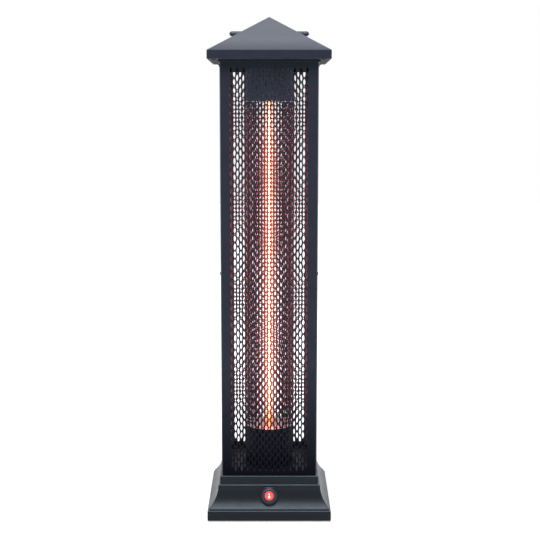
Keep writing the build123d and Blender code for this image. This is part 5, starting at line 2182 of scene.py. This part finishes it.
def finishes() -> dict[Slot, bpy.types.Material]:
    """Makes the finish of every material slot.

    Returns:
        The material of each slot.
    """
    lens_centre = tuple(PLACES.button_matrix() @ Vector((0, 0, LENS_CENTRE)))
    made = {
        # Painted highlight: the foot is painted lighter where it faces up, standing in for light on
        # its ledges and lower cove.
        Slot.FOOT: MouldedPlastic(
            "foot_plastic", (0.0035, 0.0043, 0.006), 0.30, 0.38,
            specular=0.22, painted_top_light=(0.075, 0.09, 0.105),
        ),
        Slot.SHEET: PowderCoat("black_powder_coat", COAT, peel=0.05),
        # Painted light: the drum coat is far lighter than the black coat, standing in for light
        # that the upper drum gets too little of.
        Slot.DRUM: PowderCoat("drum_painted_light", (0.11, 0.13, 0.18), 0.40, 0.52, 0.10),
        Slot.PLATE: PowderCoat("plate_paint", (0.050, 0.050, 0.055), 0.45, 0.6),
        Slot.ZINC: PlatedSteel("zinc_plate", (0.62, 0.63, 0.65)),
        Slot.BLACK_SCREW: PowderCoat("blackened_steel", (0.030, 0.030, 0.035), 0.28, 0.40, 0.05),
        Slot.RUBBER: Rubber("black_rubber", (0.020, 0.020, 0.022)),
        Slot.BEZEL: MouldedPlastic("bezel_gloss", (0.006, 0.007, 0.010), 0.18, 0.26, 0.05),
        Slot.BUTTON: MouldedPlastic("button_satin", (0.014, 0.011, 0.015), 0.28, 0.38, 0.08),
        Slot.LENS: LitLens(
            "lit_red", lens_centre, 0.0085, (1.0, 0.16, 0.13), (0.80, 0.035, 0.045), 0.75,
        ),
        Slot.NYLON: MouldedPlastic("dark_nylon", (0.030, 0.030, 0.030), 0.38, 0.5, 0.1),
        Slot.PALE_NYLON: MouldedPlastic("pale_nylon", (0.80, 0.79, 0.74), 0.4, 0.5, 0.1),
        Slot.REFLECTOR: SpunReflector("spun_aluminium", (0.93, 0.88, 0.88)),
        # Painted glow on the quartz, standing in for the filament's light in the tube.
        Slot.QUARTZ: QuartzGlass("quartz_painted_glow", (1.0, 0.90, 0.84), (1.0, 0.22, 0.07)),
        Slot.FILAMENT: HotCoil("glowing_wire", 0.111, 0.165, 0.250, 0.735, 0.777, 0.8155, 11.0),
        Slot.CERAMIC: GlazedCeramic("lamp_steatite", (0.90, 0.87, 0.80)),
        Slot.GRIP: MouldedPlastic("grip_grain", (0.018, 0.024, 0.027), 0.45, 0.58, 0.2, 900.0),
    }
    return {slot: finish.make() for slot, finish in made.items()}


def mark_light() -> bpy.types.Material:
    """White-hot light of the signs on the lens."""
    return LitLens("sign_light", (0, 0, 0), 1.0, (1.0, 0.95, 0.75), (1.0, 0.85, 0.55), 1.6).make()


def dress_solids(paints: dict[Slot, bpy.types.Material]) -> None:
    """Gives every solid of the frame the finish of its slot."""
    slots = {row["node"]: Slot(row["material_slot"]) for row in frame["record"]["subparts"]}
    for name, node in frame["nodes"].items():
        for holder in node.material_slots:
            holder.material = paints[slots[name]]
    LOG.info("dressed %d solids", len(frame["nodes"]))


def main() -> None:
    """Builds the sub-assemblies in order."""
    logging.basicConfig(level=logging.INFO, format="%(name)s %(message)s")
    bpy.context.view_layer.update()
    paints = finishes()
    dress_solids(paints)
    sheet, rubber, metal = paints[Slot.SHEET], paints[Slot.RUBBER], paints[Slot.REFLECTOR]
    # The panel, side and guard finishes carry painted shade toward the foot and a painted red glow
    # beside the lamp.
    panel = LinedSheet("lined_panel", COAT, peel=0.05).make()
    side = LinedSheet("lined_side", COAT, peel=0.05, reach=0.0872, lining=PALE_STEEL).make()
    guard = LinedSheet(
        "lined_guard", (0.012, 0.010, 0.014), reach=0.0455, round_piece=True,
        lining=(0.07, 0.065, 0.07), glow=0.45, glow_width=0.026,
    ).make()
    # Painted shade: a dark copy of the drum coat for the lower drum.
    painted_shade_drum = PowderCoat("drum_painted_shade", (0.005, 0.005, 0.008), 0.45, 0.55, 0.10, 0.1).make()
    Foot(paints[Slot.FOOT], rubber, paints[Slot.NYLON]).build()
    PowerButton(paints[Slot.BEZEL], paints[Slot.BUTTON], paints[Slot.LENS], mark_light()).build()
    Column(panel, side, paints[Slot.BLACK_SCREW]).build()
    quartz, wire = paints[Slot.QUARTZ], paints[Slot.FILAMENT]
    Lamp(paints[Slot.DRUM], painted_shade_drum, guard, metal, quartz, wire).build()
    smooth = PowderCoat("roof_powder_coat", COAT, 0.385, 0.40, 0.03).make()
    # Painted shade and reflection: the roof's underside and its screws get a grey, hardly glossy
    # copy of the black coat in place of the coat's own reflection.
    shaded = PowderCoat("soffit_painted_shade", (0.070, 0.068, 0.074), 0.6, 0.7, 0.05, 0.03).make()
    for name in ("roof_soffit", "soffit_screws"):
        frame["nodes"][name].material_slots[0].material = shaded
    Roof(smooth, sheet, paints[Slot.GRIP]).build()
    Studio().build()


if __name__ == "__main__":
    main()
